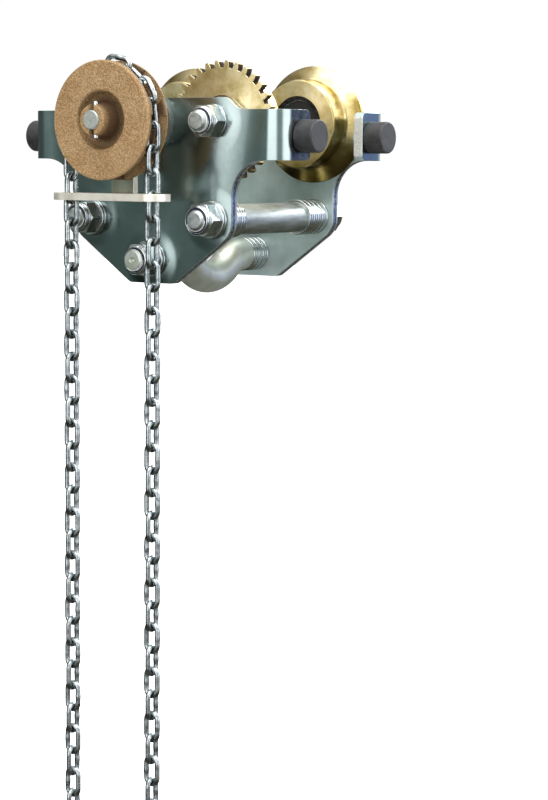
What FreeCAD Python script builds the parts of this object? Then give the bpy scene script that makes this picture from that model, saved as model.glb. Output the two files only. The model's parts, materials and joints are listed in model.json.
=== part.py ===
import FreeCAD, Part
import Sketcher
import math
import os
import re

# Geared beam trolley. X runs along the beam, Y across it with the hand wheel on the -Y side, Z up.
# The origin lies midway between the four wheels, on the plane where their treads run.

SIZES = {
    # wheels
    "wheel_base": 148, "tread_dia": 89.5, "tread_width": 21.5, "wheel_width": 35,
    "flange_dia": 118.5, "flange_rim": 5.5, "wheel_edge": 1.2, "wheel_plate_gap": 3,
    "wheel_lip": 2, "wheel_lip_dia": 50, "tread_round": 5,
    # ball bearings, two in each wheel
    "bearing_dia": 56, "bearing_width": 15, "inner_ring_dia": 30.5, "outer_ring_bore": 46.5,
    "ball_dia": 10, "ball_circle_dia": 38.5, "race_clearance": 0.3, "seal_thick": 1.2,
    "seal_recess": 0.2, "seal_gap": 0.3, "circlip_thick": 1.8, "circlip_dia": 59,
    "circlip_bore": 48, "circlip_fit": 0.05,
    # gear teeth on the front wheels and the pinion
    "gear_face": 8.5, "gear_addendum": 2.7, "gear_dedendum": 4.1,
    "gear_backlash": 0.6, "gear_ring_wall": 6, "pinion_face": 11,
    # side plates
    "plate_gap": 175, "plate_thick": 10, "plate_top": 22.9, "raised_half": 89.5,
    "shoulder_foot": 102.5, "arm_top": 11.5, "ear_clearance": 9.25, "ear_drop": 36.6, "ear_reach": 49.2,
    "side_half": 94.5, "corner_drop": 107.6, "bottom_half": 26, "bottom_drop": 157.4,
    "bend_outer": 19, "bend_inner": 9, "shoulder_round": 8, "foot_round": 14,
    "corner_round": 22, "bottom_round": 10, "ear_round": 7,
    # axles, crossbars and load bar
    "thread_dia": 20, "thread_chamfer": 2.4, "bolt_fit": 0.04, "axle_head_dia": 28,
    "axle_head_recess": 0.4, "axle_spacer_dia": 29, "axle_end": 30,
    "crossbar_half": 72.5, "crossbar_drop": 94.2, "crossbar_dia": 30, "crossbar_end": 30.5,
    "crossbar_spacer_dia": 36, "load_bar_drop": 133.9, "load_bar_dia": 33, "load_bar_crank": 21,
    "load_bar_bend": 44, "load_bar_end": 31.7, "load_bar_spacer_dia": 35,
    "load_bar_chamfer": 1, "centre_drill_dia": 5, "centre_drill_depth": 4.5,
    "spacer_thick": 4, "side_gap": 0.3,
    # washers and lock nuts
    "washer_dia": 37, "axle_washer_dia": 33, "washer_thick": 3.5, "washer_fit": 0.4,
    "nut_flats": 30, "nut_hex": 15.5,
    "nut_height": 20, "nut_chamfer": 1.6, "nut_chamfer_height": 1, "collar_dia": 28,
    "collar_edge": 1.2, "insert_dia": 24, "insert_depth": 4.5, "insert_recess": 0.6,
    # rubber buffers
    "buffer_dia": 31.5, "buffer_length": 21, "buffer_edge": 1, "buffer_inset": 33.2,
    "buffer_drop": 13.5, "stud_dia": 8, "stud_chamfer": 0.8, "stud_bury": 9, "stud_end": 9,
    "buffer_nut_flats": 13, "buffer_nut_height": 6.5, "buffer_nut_chamfer": 0.8,
    # drive shaft and its housing
    "shaft_dia": 18, "shaft_fit": 0.03, "shaft_inner": 66, "shaft_tip": 2, "shaft_chamfer": 1,
    "shaft_ring_dia": 24, "shaft_ring_thick": 1.4, "shaft_ring_depth": 1, "shaft_ring_gap": 0.3,
    "bush_dia": 24, "bush_length": 22, "thrust_washer_dia": 32, "thrust_washer_thick": 2,
    "thrust_gap": 0.4, "key_width": 6, "key_height": 6, "key_depth": 3.5,
    "housing_length": 40, "housing_flange_dia": 54, "housing_flange": 6, "housing_spigot_dia": 34,
    "housing_tube_dia": 35, "housing_nose_dia": 46, "housing_nose": 7, "housing_screw_circle": 45,
    "housing_screw_dia": 5, "housing_screw_head_dia": 8, "housing_screw_head": 4,
    "housing_screw_socket": 4, "housing_screw_length": 10,
    # hand chain wheel
    "hand_wheel_dia": 113, "hand_wheel_width": 32.8, "hand_wheel_gap": 0.4, "hub_back": 1.6,
    "hub_back_dia": 34, "chain_plane": 15, "chain_slot": 6.4, "chain_slot_dia": 77,
    "chain_shoulder_dia": 88, "chain_groove": 20, "pocket_width": 25, "pocket_length": 35,
    "pocket_floor_dia": 87, "rim_edge": 1.5, "back_recess_dia": 66, "back_recess": 6,
    "recess_dia": 56, "recess": 10, "recess_draft": 3, "hub_dia": 28.5, "hub_base_dia": 34,
    "hub_front": 13, "recess_round": 2.5, "casting_round": 4, "hub_round": 1.5,
    "pin_dia": 5.5, "pin_length": 34.5, "pin_inset": 6.8, "pin_fit": 0.1,
    # chain guide
    "guide_thick": 7, "guide_strip": 27, "guide_width": 34, "guide_drop": 69, "guide_bend": 5,
    "guide_eye_dia": 21, "guide_eye_gap": 97.2, "guide_screw_circle": 36, "guide_screw_dia": 4,
    "guide_screw_head_dia": 8, "guide_screw_head": 2.4, "guide_screw_length": 12,
    # hand chain
    "chain_wire": 5, "chain_pitch": 21.8, "chain_width": 18, "chain_play": 0.3, "chain_rise": 54,
    "chain_start": 7.3, "chain_loop_depth": 95,
}
GEAR_TEETH = 31
PINION_TEETH = 10
BALLS_PER_BEARING = 7
# Loose washers on each side: spacers inside the plates, plain ones under the bars' nuts
CROSSBAR_SPACERS = {"front": 6, "rear": 9}
LOAD_BAR_SPACERS = {"front": 5, "rear": 7}
BAR_WASHERS = {"front": 2, "rear": 1}
CHAIN_POCKETS = 7
CHAIN_LINKS = 82
HOUSING_SCREWS = 4
GUIDE_SCREWS = 3
HEX_SIDES = 6
PRESSURE_ANGLE = math.radians(20)
FULL_TURN = 360.0
# Pinion flanks narrow to this share of their width below the base circle
UNDERCUT_SHARE = 0.72
# The curve below each arm takes this share of the arm's length
ARM_ROUND_SHARE = 0.62
# Where the geared wheels stand at rest
GEAR_REST_TURN = math.radians(3.2)

# Distances that several pieces share
AXLE_Z = "tread_dia / 2"
GEAR_MODULE = f"(wheel_base / {GEAR_TEETH + PINION_TEETH})"
PLATE_IN = "plate_gap / 2"
PLATE_OUT = "(plate_gap / 2 + plate_thick)"
WHEEL_IN = "(plate_gap / 2 - wheel_plate_gap - wheel_width)"
BEARING_START = "(wheel_width - wheel_lip - 2 * bearing_width)"
CROSSBAR_Z = "(tread_dia / 2 - crossbar_drop)"
LOAD_BAR_Z = "(tread_dia / 2 - load_bar_drop)"
CROSSBAR_SHOULDER = {side: f"(plate_gap / 2 - {count} * spacer_thick)"
                     for side, count in CROSSBAR_SPACERS.items()}
LOAD_BAR_SHOULDER = {side: f"(plate_gap / 2 - {count} * spacer_thick - side_gap)"
                     for side, count in LOAD_BAR_SPACERS.items()}
BOLT_BORE = "(thread_dia / 2 + bolt_fit)"
BUFFER_Y = "(plate_gap / 2 + plate_thick - buffer_inset)"
BUFFER_Z = "(tread_dia / 2 - buffer_drop)"
EAR_INNER = "(wheel_base / 2 + flange_dia / 2 + ear_clearance)"
EAR_HALF = f"({EAR_INNER} + plate_thick)"
ARM_ROUND = f"({ARM_ROUND_SHARE} * ({EAR_HALF} - side_half))"
SHAFT_BORE = "(shaft_dia / 2 + shaft_fit)"
PINION_Y = "(plate_gap / 2 - thrust_washer_thick - thrust_gap - pinion_face)"
GUIDE_FACE = "(plate_gap / 2 + plate_thick + housing_length + guide_thick)"
HAND_WHEEL_Y = f"({GUIDE_FACE} + hand_wheel_gap)"
CHAIN_Y = f"({HAND_WHEEL_Y} + hub_back + chain_plane)"
WHEEL_FRONT = "(hub_back + hand_wheel_width)"
HUB_END = "(hub_back + hand_wheel_width + hub_front)"
GUIDE_Z = "(tread_dia / 2 - guide_drop)"

# Turns: pieces are modelled pointing along +Y and turned to where they belong
STRAIGHT = FreeCAD.Rotation()
AROUND = FreeCAD.Rotation(FreeCAD.Vector(0, 0, 1), 180)
TO_RIGHT = FreeCAD.Rotation(FreeCAD.Vector(0, 0, 1), -90)
TO_LEFT = FreeCAD.Rotation(FreeCAD.Vector(0, 0, 1), 90)
Z_TO_Y = FreeCAD.Rotation(FreeCAD.Vector(1, 0, 0), -90)
Z_TO_BACK = FreeCAD.Rotation(FreeCAD.Vector(1, 0, 0), 90)
SIDES = (("front", "-", AROUND), ("rear", "", STRAIGHT))
ENDS = (("left", "-", TO_LEFT), ("right", "", TO_RIGHT))

doc = FreeCAD.newDocument("GearedTrolley")
sheet = doc.addObject("Spreadsheet::Sheet", "Sizes")
for row, (alias, number) in enumerate(SIZES.items(), start=1):
    sheet.set(f"A{row}", alias)
    sheet.set(f"B{row}", str(number))
    sheet.setAlias(f"B{row}", alias)
doc.recompute()
nodes = []


def size(alias):
    """The number that a cell of the sheet holds."""
    return float(sheet.get(alias))


def cells(expression):
    """An expression with each size name turned into a cell of the sheet."""
    known = lambda word: "Sizes." + word.group() if word.group() in SIZES else word.group()
    return re.sub(r"[a-z_]+", known, expression)


def keep(piece):
    """Mark a piece as a sub-part to write out."""
    nodes.append(piece)
    return piece


def place(piece, at, turn=STRAIGHT):
    """Put a piece at three expressions, with a fixed turn."""
    piece.Placement = FreeCAD.Placement(FreeCAD.Vector(), turn)
    for axis, expression in zip("xyz", at):
        piece.setExpression(f"Placement.Base.{axis}", cells(expression))
    return piece


def draw(body, role, loops):
    """A sketch on one of the body's own planes with closed loops of bound corners."""
    sketch = body.newObject("Sketcher::SketchObject", body.Name + "_sketch")
    plane = next(item for item in body.Origin.OriginFeatures if item.Role == role)
    sketch.AttachmentSupport = (plane, [""])
    sketch.MapMode = "FlatFace"
    for corners in loops:
        if isinstance(corners, dict):
            draw_circle(sketch, **corners)
        else:
            draw_loop(sketch, corners)
    return sketch


def draw_loop(sketch, corners):
    """A closed run of lines whose corners are bound to expressions."""
    first = sketch.GeometryCount
    count = len(corners)
    angles = [2 * math.pi * index / count for index in range(count)]
    seeds = [FreeCAD.Vector(math.cos(angle), math.sin(angle), 0) for angle in angles]
    for index, seed in enumerate(seeds):
        sketch.addGeometry(Part.LineSegment(seed, seeds[(index + 1) % count]))
    for index in range(count):
        following = first + (index + 1) % count
        sketch.addConstraint(Sketcher.Constraint("Coincident", first + index, 2, following, 1))
    for index, (across, along) in enumerate(corners):
        bound(sketch, "DistanceX", first + index, 1, seeds[index].x, across)
        bound(sketch, "DistanceY", first + index, 1, seeds[index].y, along)


def draw_circle(sketch, across, along, dia):
    """A circle whose centre and diameter are bound to expressions."""
    circle = sketch.addGeometry(Part.Circle(FreeCAD.Vector(), FreeCAD.Vector(0, 0, 1), 1))
    bound(sketch, "DistanceX", circle, 3, 0, across)
    bound(sketch, "DistanceY", circle, 3, 0, along)
    number = sketch.addConstraint(Sketcher.Constraint("Diameter", circle, 2))
    sketch.setExpression(f"Constraints[{number}]", cells(dia))


def bound(sketch, kind, item, point, seed, expression):
    """A distance from the sketch's origin, bound to an expression."""
    number = sketch.addConstraint(Sketcher.Constraint(kind, -1, 1, item, point, seed))
    sketch.setExpression(f"Constraints[{number}]", cells(expression))


def turned(name, profile):
    """A body turned about its Y axis from (radius, along) corners."""
    body = doc.addObject("PartDesign::Body", name)
    sketch = draw(body, "XY_Plane", [profile])
    turn = body.newObject("PartDesign::Revolution", name + "_turn")
    turn.Profile = sketch
    turn.ReferenceAxis = (sketch, ["V_Axis"])
    turn.Angle = FULL_TURN
    return body


def ring(name, bore, outer, start, end):
    """A plain turned ring: two radii and two places along Y."""
    return turned(name, [(bore, start), (outer, start), (outer, end), (bore, end)])


def primitive(kind, name, at=("0", "0", "0"), turn=STRAIGHT, **sizes):
    """A Part primitive with its sizes bound to expressions."""
    piece = doc.addObject("Part::" + kind, name)
    for prop, expression in sizes.items():
        piece.setExpression(prop, cells(expression))
    return place(piece, at, turn)


def cut(name, base, tool):
    """The base with the tool taken away."""
    piece = doc.addObject("Part::Cut", name)
    piece.Base = base
    piece.Tool = tool
    return piece


def fused(name, pieces):
    """Several overlapping pieces made into one."""
    piece = doc.addObject("Part::MultiFuse", name)
    piece.Shapes = pieces
    return piece


def copy_of(name, master, at, turn=STRAIGHT):
    """A linked copy of a master piece at bound coordinates."""
    link = doc.addObject("App::Link", name)
    link.LinkedObject = master
    return place(link, at, turn)


def group(name, copies):
    """One sub-part made of equal separate pieces: (master, place, turn) each."""
    links = [copy_of(f"{name}_{number}", *copy) for number, copy in enumerate(copies, start=1)]
    node = doc.addObject("Part::Compound", name)
    node.Links = links
    return keep(node)


def pocket(body, sketch, through=True):
    """Cut a sketch out of a body to both sides."""
    cutter = body.newObject("PartDesign::Pocket", sketch.Name + "_pocket")
    cutter.Profile = sketch
    cutter.SideType = "Symmetric"
    cutter.Type = "ThroughAll" if through else "Length"
    return cutter


def edges_at(shape, axis, corners):
    """Names of the straight edges along one axis that stand at the given corners."""
    found = []
    others = [index for index in range(3) if index != axis]
    for number, edge in enumerate(shape.Edges, start=1):
        ends = [vertex.Point for vertex in edge.Vertexes]
        for corner in corners:
            if len(ends) == 2 and all(
                abs(end[index] - value) < 1e-4 for end in ends for index, value in zip(others, corner)
            ):
                found.append(f"Edge{number}")
    return found


def rings_at(shape, rings):
    """Names of the circles about Y that have the given (diameter, place along Y)."""
    found = []
    for number, edge in enumerate(shape.Edges, start=1):
        if not isinstance(edge.Curve, Part.Circle):
            continue
        for dia, along in rings:
            if abs(2 * edge.Curve.Radius - dia) < 1e-4 and abs(edge.Curve.Center.y - along) < 1e-4:
                found.append(f"Edge{number}")
    return found


def rounded(body, feature, title, radius, names):
    """Round the named edges of a body's feature."""
    fillet = body.newObject("PartDesign::Fillet", feature.Name + "_" + title)
    fillet.Base = (feature, names)
    fillet.setExpression("Radius", cells(radius))
    doc.recompute()
    return fillet


def polar(radius, angle):
    """A point in the XZ plane."""
    return FreeCAD.Vector(radius * math.cos(angle), 0, radius * math.sin(angle))


def around(count):
    """Even angles round a circle."""
    return [2 * math.pi * index / count for index in range(count)]


def inward(sign, distance):
    """A bound Y coordinate on the front (-) or rear side."""
    return f"{sign}({distance})"


# %% Side plates: a channel with bent ears, cut to the outline
def side_plate(name, sign, turn, holes):
    body = doc.addObject("PartDesign::Body", name)
    channel = draw(body, "XY_Plane", [[
        (f"-{EAR_HALF}", "0"), (EAR_HALF, "0"), (EAR_HALF, "ear_reach"), (EAR_INNER, "ear_reach"),
        (EAR_INNER, "plate_thick"), (f"-{EAR_INNER}", "plate_thick"), (f"-{EAR_INNER}", "ear_reach"),
        (f"-{EAR_HALF}", "ear_reach"),
    ]])
    pad = body.newObject("PartDesign::Pad", name + "_pad")
    pad.Profile = channel
    pad.SideType = "Symmetric"
    pad.setExpression("Length", cells("2 * bottom_drop + 2 * plate_top"))
    doc.recompute()
    thick = size("plate_thick")
    ear = pad.Shape.BoundBox.XMax
    outer = edges_at(pad.Shape, 2, [(ear, 0), (-ear, 0)])
    bend = rounded(body, pad, "outer_bend", "bend_outer", outer)
    inner = edges_at(bend.Shape, 2, [(ear - thick, thick), (thick - ear, thick)])
    bend = rounded(body, bend, "inner_bend", "bend_inner", inner)
    beyond = f"2 * {EAR_HALF}"
    half = [
        ("raised_half", "plate_top"), ("shoulder_foot", "arm_top"), (beyond, "arm_top"),
        (beyond, "-ear_drop"), ("side_half", "-ear_drop"), ("side_half", "-corner_drop"),
        ("bottom_half", "-bottom_drop"),
    ]
    mirrored = [("-" + across, along) for across, along in reversed(half)]
    frame_x = f"3 * {EAR_HALF}"
    frame_z = "3 * bottom_drop"
    frame = [(f"-{frame_x}", f"-{frame_z}"), (frame_x, f"-{frame_z}"), (frame_x, frame_z),
             (f"-{frame_x}", frame_z)]
    trim = pocket(body, draw(body, "XZ_Plane", [frame, half + mirrored]))
    doc.recompute()
    for title, radius, across, along in (
        ("shoulder", "shoulder_round", "raised_half", size("plate_top")),
        ("foot", "foot_round", "shoulder_foot", size("arm_top")),
        ("arm", ARM_ROUND, "side_half", -size("ear_drop")),
        ("corner", "corner_round", "side_half", -size("corner_drop")),
        ("bottom", "bottom_round", "bottom_half", -size("bottom_drop")),
    ):
        spots = [(size(across), along), (-size(across), along)]
        trim = rounded(body, trim, title, radius, edges_at(trim.Shape, 1, spots))
    ear_ends = [(size("ear_reach"), size("arm_top")), (size("ear_reach"), -size("ear_drop"))]
    rounded(body, trim, "ears", "ear_round", edges_at(trim.Shape, 0, ear_ends))
    pocket(body, draw(body, "XZ_Plane", [dict(across=x, along=z, dia=dia) for x, z, dia in holes]))
    stud_hole = dict(across="buffer_inset", along="-buffer_drop", dia="stud_dia + 2 * bolt_fit")
    pocket(body, draw(body, "YZ_Plane", [stud_hole]))
    return keep(place(body, ("0", inward(sign, PLATE_OUT), AXLE_Z), turn))


bolt_hole = f"2 * {BOLT_BORE}"
bolt_holes = [(sign + distance, drop, bolt_hole) for sign in ("", "-")
              for distance, drop in (("wheel_base / 2", "0"), ("crossbar_half", "-crossbar_drop"))]
bolt_holes.append(("0", "-load_bar_drop", bolt_hole))
screw_ring = "housing_screw_circle / 2"
drive_holes = [("0", "0", "housing_spigot_dia + 2 * bolt_fit")]
screw_spots = [(f"{screw_ring} * cos({angle} rad)", f"{screw_ring} * sin({angle} rad)")
               for angle in (turn + math.pi / HOUSING_SCREWS for turn in around(HOUSING_SCREWS))]
drive_holes += [(x, z, "housing_screw_dia") for x, z in screw_spots]
side_plate("front_side_plate", "-", STRAIGHT, bolt_holes + drive_holes)
side_plate("rear_side_plate", "", AROUND, bolt_holes)


# %% Gear teeth by formula: involute flanks drawn as arcs through three points
def toothed(name, teeth, face, wall, phase, root_share=1.0):
    pitch_radius = size("wheel_base") / (GEAR_TEETH + PINION_TEETH) * teeth / 2
    base = pitch_radius * math.cos(PRESSURE_ANGLE)
    tip = pitch_radius + size("gear_addendum")
    root = pitch_radius - size("gear_dedendum")
    at_pitch = math.pi / (2 * teeth) - size("gear_backlash") / (4 * pitch_radius)

    def half_angle(radius):
        slope = math.acos(min(1.0, base / radius))
        rolled = math.tan(PRESSURE_ANGLE) - PRESSURE_ANGLE - math.tan(slope) + slope
        return at_pitch + rolled

    start = max(base, root)
    middle = (start + tip) / 2
    edges = []
    for angle in around(teeth):
        centre = angle + phase
        following = centre + 2 * math.pi / teeth
        foot = half_angle(start) * root_share
        rising = [polar(radius, centre - half_angle(radius)) for radius in (start, middle, tip)]
        falling = [polar(radius, centre + half_angle(radius)) for radius in (tip, middle, start)]
        edges.append(Part.LineSegment(polar(root, centre - foot), rising[0]).toShape())
        edges.append(Part.Arc(*rising).toShape())
        edges.append(Part.Arc(rising[-1], polar(tip, centre), falling[0]).toShape())
        edges.append(Part.Arc(*falling).toShape())
        edges.append(Part.LineSegment(falling[-1], polar(root, centre + foot)).toShape())
        gap = polar(root, (centre + following) / 2)
        edges.append(Part.Arc(polar(root, centre + foot), gap, polar(root, following - foot)).toShape())
    along = FreeCAD.Vector(0, face, 0)
    solid = Part.Face(Part.Wire(edges)).extrude(along)
    bore = Part.makeCylinder(root - wall, face, FreeCAD.Vector(), FreeCAD.Vector(0, 1, 0))
    piece = doc.addObject("Part::Feature", name)
    piece.Shape = solid.cut(bore)
    return piece


# %% Wheels: turned from the side that faces the beam's web, geared or flanged at the outer side
GEAR_ROOT = f"({GEAR_MODULE} * {GEAR_TEETH} / 2 - gear_dedendum)"


def wheel(name, at, turn, geared, phase):
    edge = "wheel_edge"
    if geared:
        rim = [(GEAR_ROOT, "wheel_width - gear_face"), (GEAR_ROOT, "wheel_width")]
    else:
        rim = [("flange_dia / 2 - " + edge, "wheel_width - flange_rim"),
               ("flange_dia / 2", f"wheel_width - flange_rim + {edge}"),
               ("flange_dia / 2", "wheel_width - " + edge),
               ("flange_dia / 2 - " + edge, "wheel_width")]
    bore = "bearing_dia / 2"
    groove_start = f"{BEARING_START} - circlip_thick - circlip_fit"
    profile = [(bore, "0"), ("tread_dia / 2 - " + edge, "0"), ("tread_dia / 2", edge),
               ("tread_dia / 2", "tread_width")] + rim + [
        ("wheel_lip_dia / 2", "wheel_width"), ("wheel_lip_dia / 2", "wheel_width - wheel_lip"),
        (bore, "wheel_width - wheel_lip"), (bore, BEARING_START),
        ("circlip_dia / 2", BEARING_START), ("circlip_dia / 2", groove_start), (bore, groove_start)]
    blank = turned(name + "_blank" if geared else name, profile)
    doc.recompute()
    tread_end = rings_at(blank.Shape, [(size("tread_dia"), size("tread_width"))])
    rounded(blank, blank.Tip, "tread", "tread_round", tread_end)
    if not geared:
        return keep(place(blank, at, turn))
    teeth = toothed(name + "_teeth", GEAR_TEETH, size("gear_face"), size("gear_ring_wall"), phase)
    place(teeth, ("0", "wheel_width - gear_face", "0"))
    return keep(place(fused(name, [blank, teeth]), at, turn))


# Bearing pieces, made once and copied into every wheel
race = primitive("Torus", "race", ("0", "bearing_width / 2", "0"), Z_TO_Y,
                 Radius1="ball_circle_dia / 2", Radius2="ball_dia / 2 + race_clearance")
outer_blank = ring("outer_ring_blank", "outer_ring_bore / 2", "bearing_dia / 2", "0", "bearing_width")
outer_ring = cut("outer_ring", outer_blank, race)
inner_blank = ring("inner_ring_blank", BOLT_BORE, "inner_ring_dia / 2", "0", "bearing_width")
inner_ring = cut("inner_ring", inner_blank, race)
ball = primitive("Sphere", "ball", Radius="ball_dia / 2")
seal = ring("seal", "inner_ring_dia / 2 + seal_gap", "outer_ring_bore / 2", "0", "seal_thick")
circlip = ring("circlip", "circlip_bore / 2", "circlip_dia / 2 - circlip_fit", "0", "circlip_thick")

axle_tip = f"{PLATE_OUT} + axle_end - {WHEEL_IN}"
axle_profile = [("0", "axle_head_recess"), ("axle_head_dia / 2", "axle_head_recess"),
                ("axle_head_dia / 2", BEARING_START), ("thread_dia / 2", BEARING_START),
                ("thread_dia / 2", f"{axle_tip} - thread_chamfer"),
                ("thread_dia / 2 - thread_chamfer", axle_tip), ("0", axle_tip)]
axle_spacer = ring("axle_spacer", BOLT_BORE, "axle_spacer_dia / 2", "0", "wheel_lip + wheel_plate_gap")

inner_rings = []
axle_spacers = []
half_pitch = math.pi / GEAR_TEETH
for side, sign, turn in SIDES:
    for end, end_sign, _ in ENDS:
        spot = f"{side}_{end}_wheel"
        x = f"{end_sign}wheel_base / 2"

        def along(distance):
            return (x, inward(sign, f"{WHEEL_IN} + {distance}"), AXLE_Z)

        mesh_turn = half_pitch if end == "right" else 0.0
        wheel(spot, along("0"), turn, side == "front", mesh_turn - GEAR_REST_TURN)
        starts = [BEARING_START, f"{BEARING_START} + bearing_width"]
        group(spot + "_bearing_outer_rings", [(outer_ring, along(start), turn) for start in starts])
        ball_copies = []
        for start in starts:
            for angle in around(BALLS_PER_BEARING):
                radius = "ball_circle_dia / 2"
                ball_copies.append((ball, (f"{x} + {radius} * cos({angle} rad)",
                                           along(f"{start} + bearing_width / 2")[1],
                                           f"{AXLE_Z} + {radius} * sin({angle} rad)"), STRAIGHT))
        group(spot + "_bearing_balls", ball_copies)
        seal_starts = [f"{start} + {inset}" for start in starts
                       for inset in ("seal_recess", "bearing_width - seal_recess - seal_thick")]
        group(spot + "_bearing_seals", [(seal, along(start), turn) for start in seal_starts])
        clip_start = f"{BEARING_START} - circlip_thick"
        group(spot + "_circlip", [(circlip, along(clip_start), turn)])
        axle = turned(f"{side}_{end}_axle", axle_profile)
        keep(place(axle, along("0"), turn))
        inner_rings += [(inner_ring, along(start), turn) for start in starts]
        axle_spacers.append((axle_spacer, along("wheel_width - wheel_lip"), turn))
group("bearing_inner_rings", inner_rings)
group("axle_spacers", axle_spacers)

# %% Crossbars between the plates, with their stacks of spacer washers
crossbar_tip = f"{PLATE_OUT} + crossbar_end"


def half_bar(side):
    """Profile of a crossbar from the shoulder of one side to its tip."""
    shoulder = CROSSBAR_SHOULDER[side]
    return [("crossbar_dia / 2", shoulder), ("thread_dia / 2", shoulder),
            ("thread_dia / 2", f"{crossbar_tip} - thread_chamfer"),
            ("thread_dia / 2 - thread_chamfer", crossbar_tip), ("0", crossbar_tip)]


front_half = [(radius, f"-({distance})") for radius, distance in reversed(half_bar("front"))]
bar_profile = front_half + half_bar("rear")
for end, end_sign, _ in ENDS:
    bar = turned(end + "_crossbar", bar_profile)
    keep(place(bar, (end_sign + "crossbar_half", "0", CROSSBAR_Z)))

crossbar_spacer = ring("crossbar_spacer", "thread_dia / 2 + washer_fit", "crossbar_spacer_dia / 2",
                       "0", "spacer_thick")
load_bar_spacer = ring("load_bar_spacer", "thread_dia / 2 + washer_fit", "load_bar_spacer_dia / 2",
                       "0", "spacer_thick")


def stack(master, counts, x, z):
    """Spacer washers side by side against the inside of both plates."""
    copies = []
    for side, sign, turn in SIDES:
        for number in range(1, counts[side] + 1):
            y = inward(sign, f"{PLATE_IN} - {number} * spacer_thick")
            copies.append((master, (x, y, z), turn))
    return copies


group("crossbar_spacer_washers", stack(crossbar_spacer, CROSSBAR_SPACERS, "-crossbar_half", CROSSBAR_Z)
      + stack(crossbar_spacer, CROSSBAR_SPACERS, "crossbar_half", CROSSBAR_Z))
group("load_bar_spacer_washers", stack(load_bar_spacer, LOAD_BAR_SPACERS, "0", LOAD_BAR_Z))


# %% Load bar: a round bar swept down through a shallow crank, with turned threaded ends
def crank_path():
    """Two reversed bends on each side, tangent to the level ends and to the level middle."""
    reach = {side: size("plate_gap") / 2 - count * size("spacer_thick") - size("side_gap")
             for side, count in LOAD_BAR_SPACERS.items()}
    span = min(reach.values())
    drop = size("load_bar_crank")
    both = (span ** 2 + drop ** 2) / (2 * drop)
    outer = size("load_bar_bend")
    inner = both - outer
    slope = math.asin(span / both)

    def low(angle):
        return FreeCAD.Vector(0, inner * math.sin(angle), inner - drop - inner * math.cos(angle))

    def high(side, angle):
        out = span - outer * math.sin(angle)
        return FreeCAD.Vector(0, side * out, outer * math.cos(angle) - outer)

    runs = [Part.Arc(high(-1, 0), high(-1, slope / 2), high(-1, slope)),
            Part.Arc(low(-slope), low(0), low(slope)),
            Part.Arc(high(1, slope), high(1, slope / 2), high(1, 0))]
    # A side with fewer spacers starts with a straight run
    if reach["front"] > span:
        runs.insert(0, Part.LineSegment(FreeCAD.Vector(0, -reach["front"], 0), high(-1, 0)))
    if reach["rear"] > span:
        runs.append(Part.LineSegment(high(1, 0), FreeCAD.Vector(0, reach["rear"], 0)))
    return Part.Wire([run.toShape() for run in runs])


crank = doc.addObject("Part::Feature", "crank_path")
crank.Shape = crank_path()
section = primitive("Circle", "crank_section", ("0", f"-{LOAD_BAR_SHOULDER['front']}", "0"), Z_TO_Y,
                    Radius="load_bar_dia / 2")
doc.recompute()
swept = doc.addObject("Part::Sweep", "crank_sweep")
swept.Sections = [section]
swept.Spine = (crank, [f"Edge{number + 1}" for number in range(len(crank.Shape.Edges))])
swept.Solid = True
swept.Frenet = False
load_tip = f"{PLATE_OUT} + load_bar_end"
load_ends = []
for side, sign, turn in SIDES:
    # The end starts one radius inside the swept bar so that both overlap
    begin = f"{LOAD_BAR_SHOULDER[side]} - thread_dia / 8"
    end_piece = turned(side + "_load_bar_end", [
        ("0", begin), ("thread_dia / 2", begin), ("thread_dia / 2", f"{load_tip} - load_bar_chamfer"),
        ("thread_dia / 2 - load_bar_chamfer", load_tip), ("centre_drill_dia / 2", load_tip),
        ("0", f"{load_tip} - centre_drill_depth")])
    load_ends.append(place(end_piece, ("0", "0", "0"), turn))
keep(place(fused("load_bar", [swept] + load_ends), ("0", "0", LOAD_BAR_Z)))

# %% Washers and lock nuts on every threaded end
plain_washer = ring("plain_washer", "thread_dia / 2 + washer_fit", "washer_dia / 2", "0", "washer_thick")
axle_washer = ring("axle_washer", "thread_dia / 2 + washer_fit", "axle_washer_dia / 2", "0", "washer_thick")


def hexagon(name, flats, height):
    """A hexagonal prism along Y."""
    prism = primitive("Prism", name, turn=Z_TO_Y, Circumradius=f"{flats} / sqrt(3)", Height=height)
    prism.Polygon = HEX_SIDES
    return prism


corner = "nut_flats / sqrt(3)"
insert_start = "nut_height - insert_depth"
nut_blank = turned("lock_nut_blank", [
    (BOLT_BORE, "0"), (f"{corner} - nut_chamfer", "0"), (corner, "nut_chamfer_height"),
    (corner, "nut_hex - nut_chamfer_height"), (f"{corner} - nut_chamfer", "nut_hex"),
    ("collar_dia / 2", "nut_hex"), ("collar_dia / 2", "nut_height - collar_edge"),
    ("collar_dia / 2 - collar_edge", "nut_height"), ("insert_dia / 2", "nut_height"),
    ("insert_dia / 2", insert_start), (BOLT_BORE, insert_start)])
lock_nut = doc.addObject("Part::MultiCommon", "lock_nut")
lock_nut.Shapes = [nut_blank, hexagon("lock_nut_hexagon", "nut_flats", "nut_height")]
nut_insert = ring("nut_insert", BOLT_BORE, "insert_dia / 2", insert_start, "nut_height - insert_recess")

axle_ends = [(sign + "wheel_base / 2", AXLE_Z) for sign in ("", "-")]
bar_ends = [(sign + "crossbar_half", CROSSBAR_Z) for sign in ("", "-")]
load_end = [("0", LOAD_BAR_Z)]


def on_plates(master, spots, distances):
    """Copies on the outside of both plates, at each side's own distances."""
    return [(master, (x, inward(sign, f"{PLATE_OUT} + {distance}"), z), turn)
            for side, sign, turn in SIDES for distance in distances[side] for x, z in spots]


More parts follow.
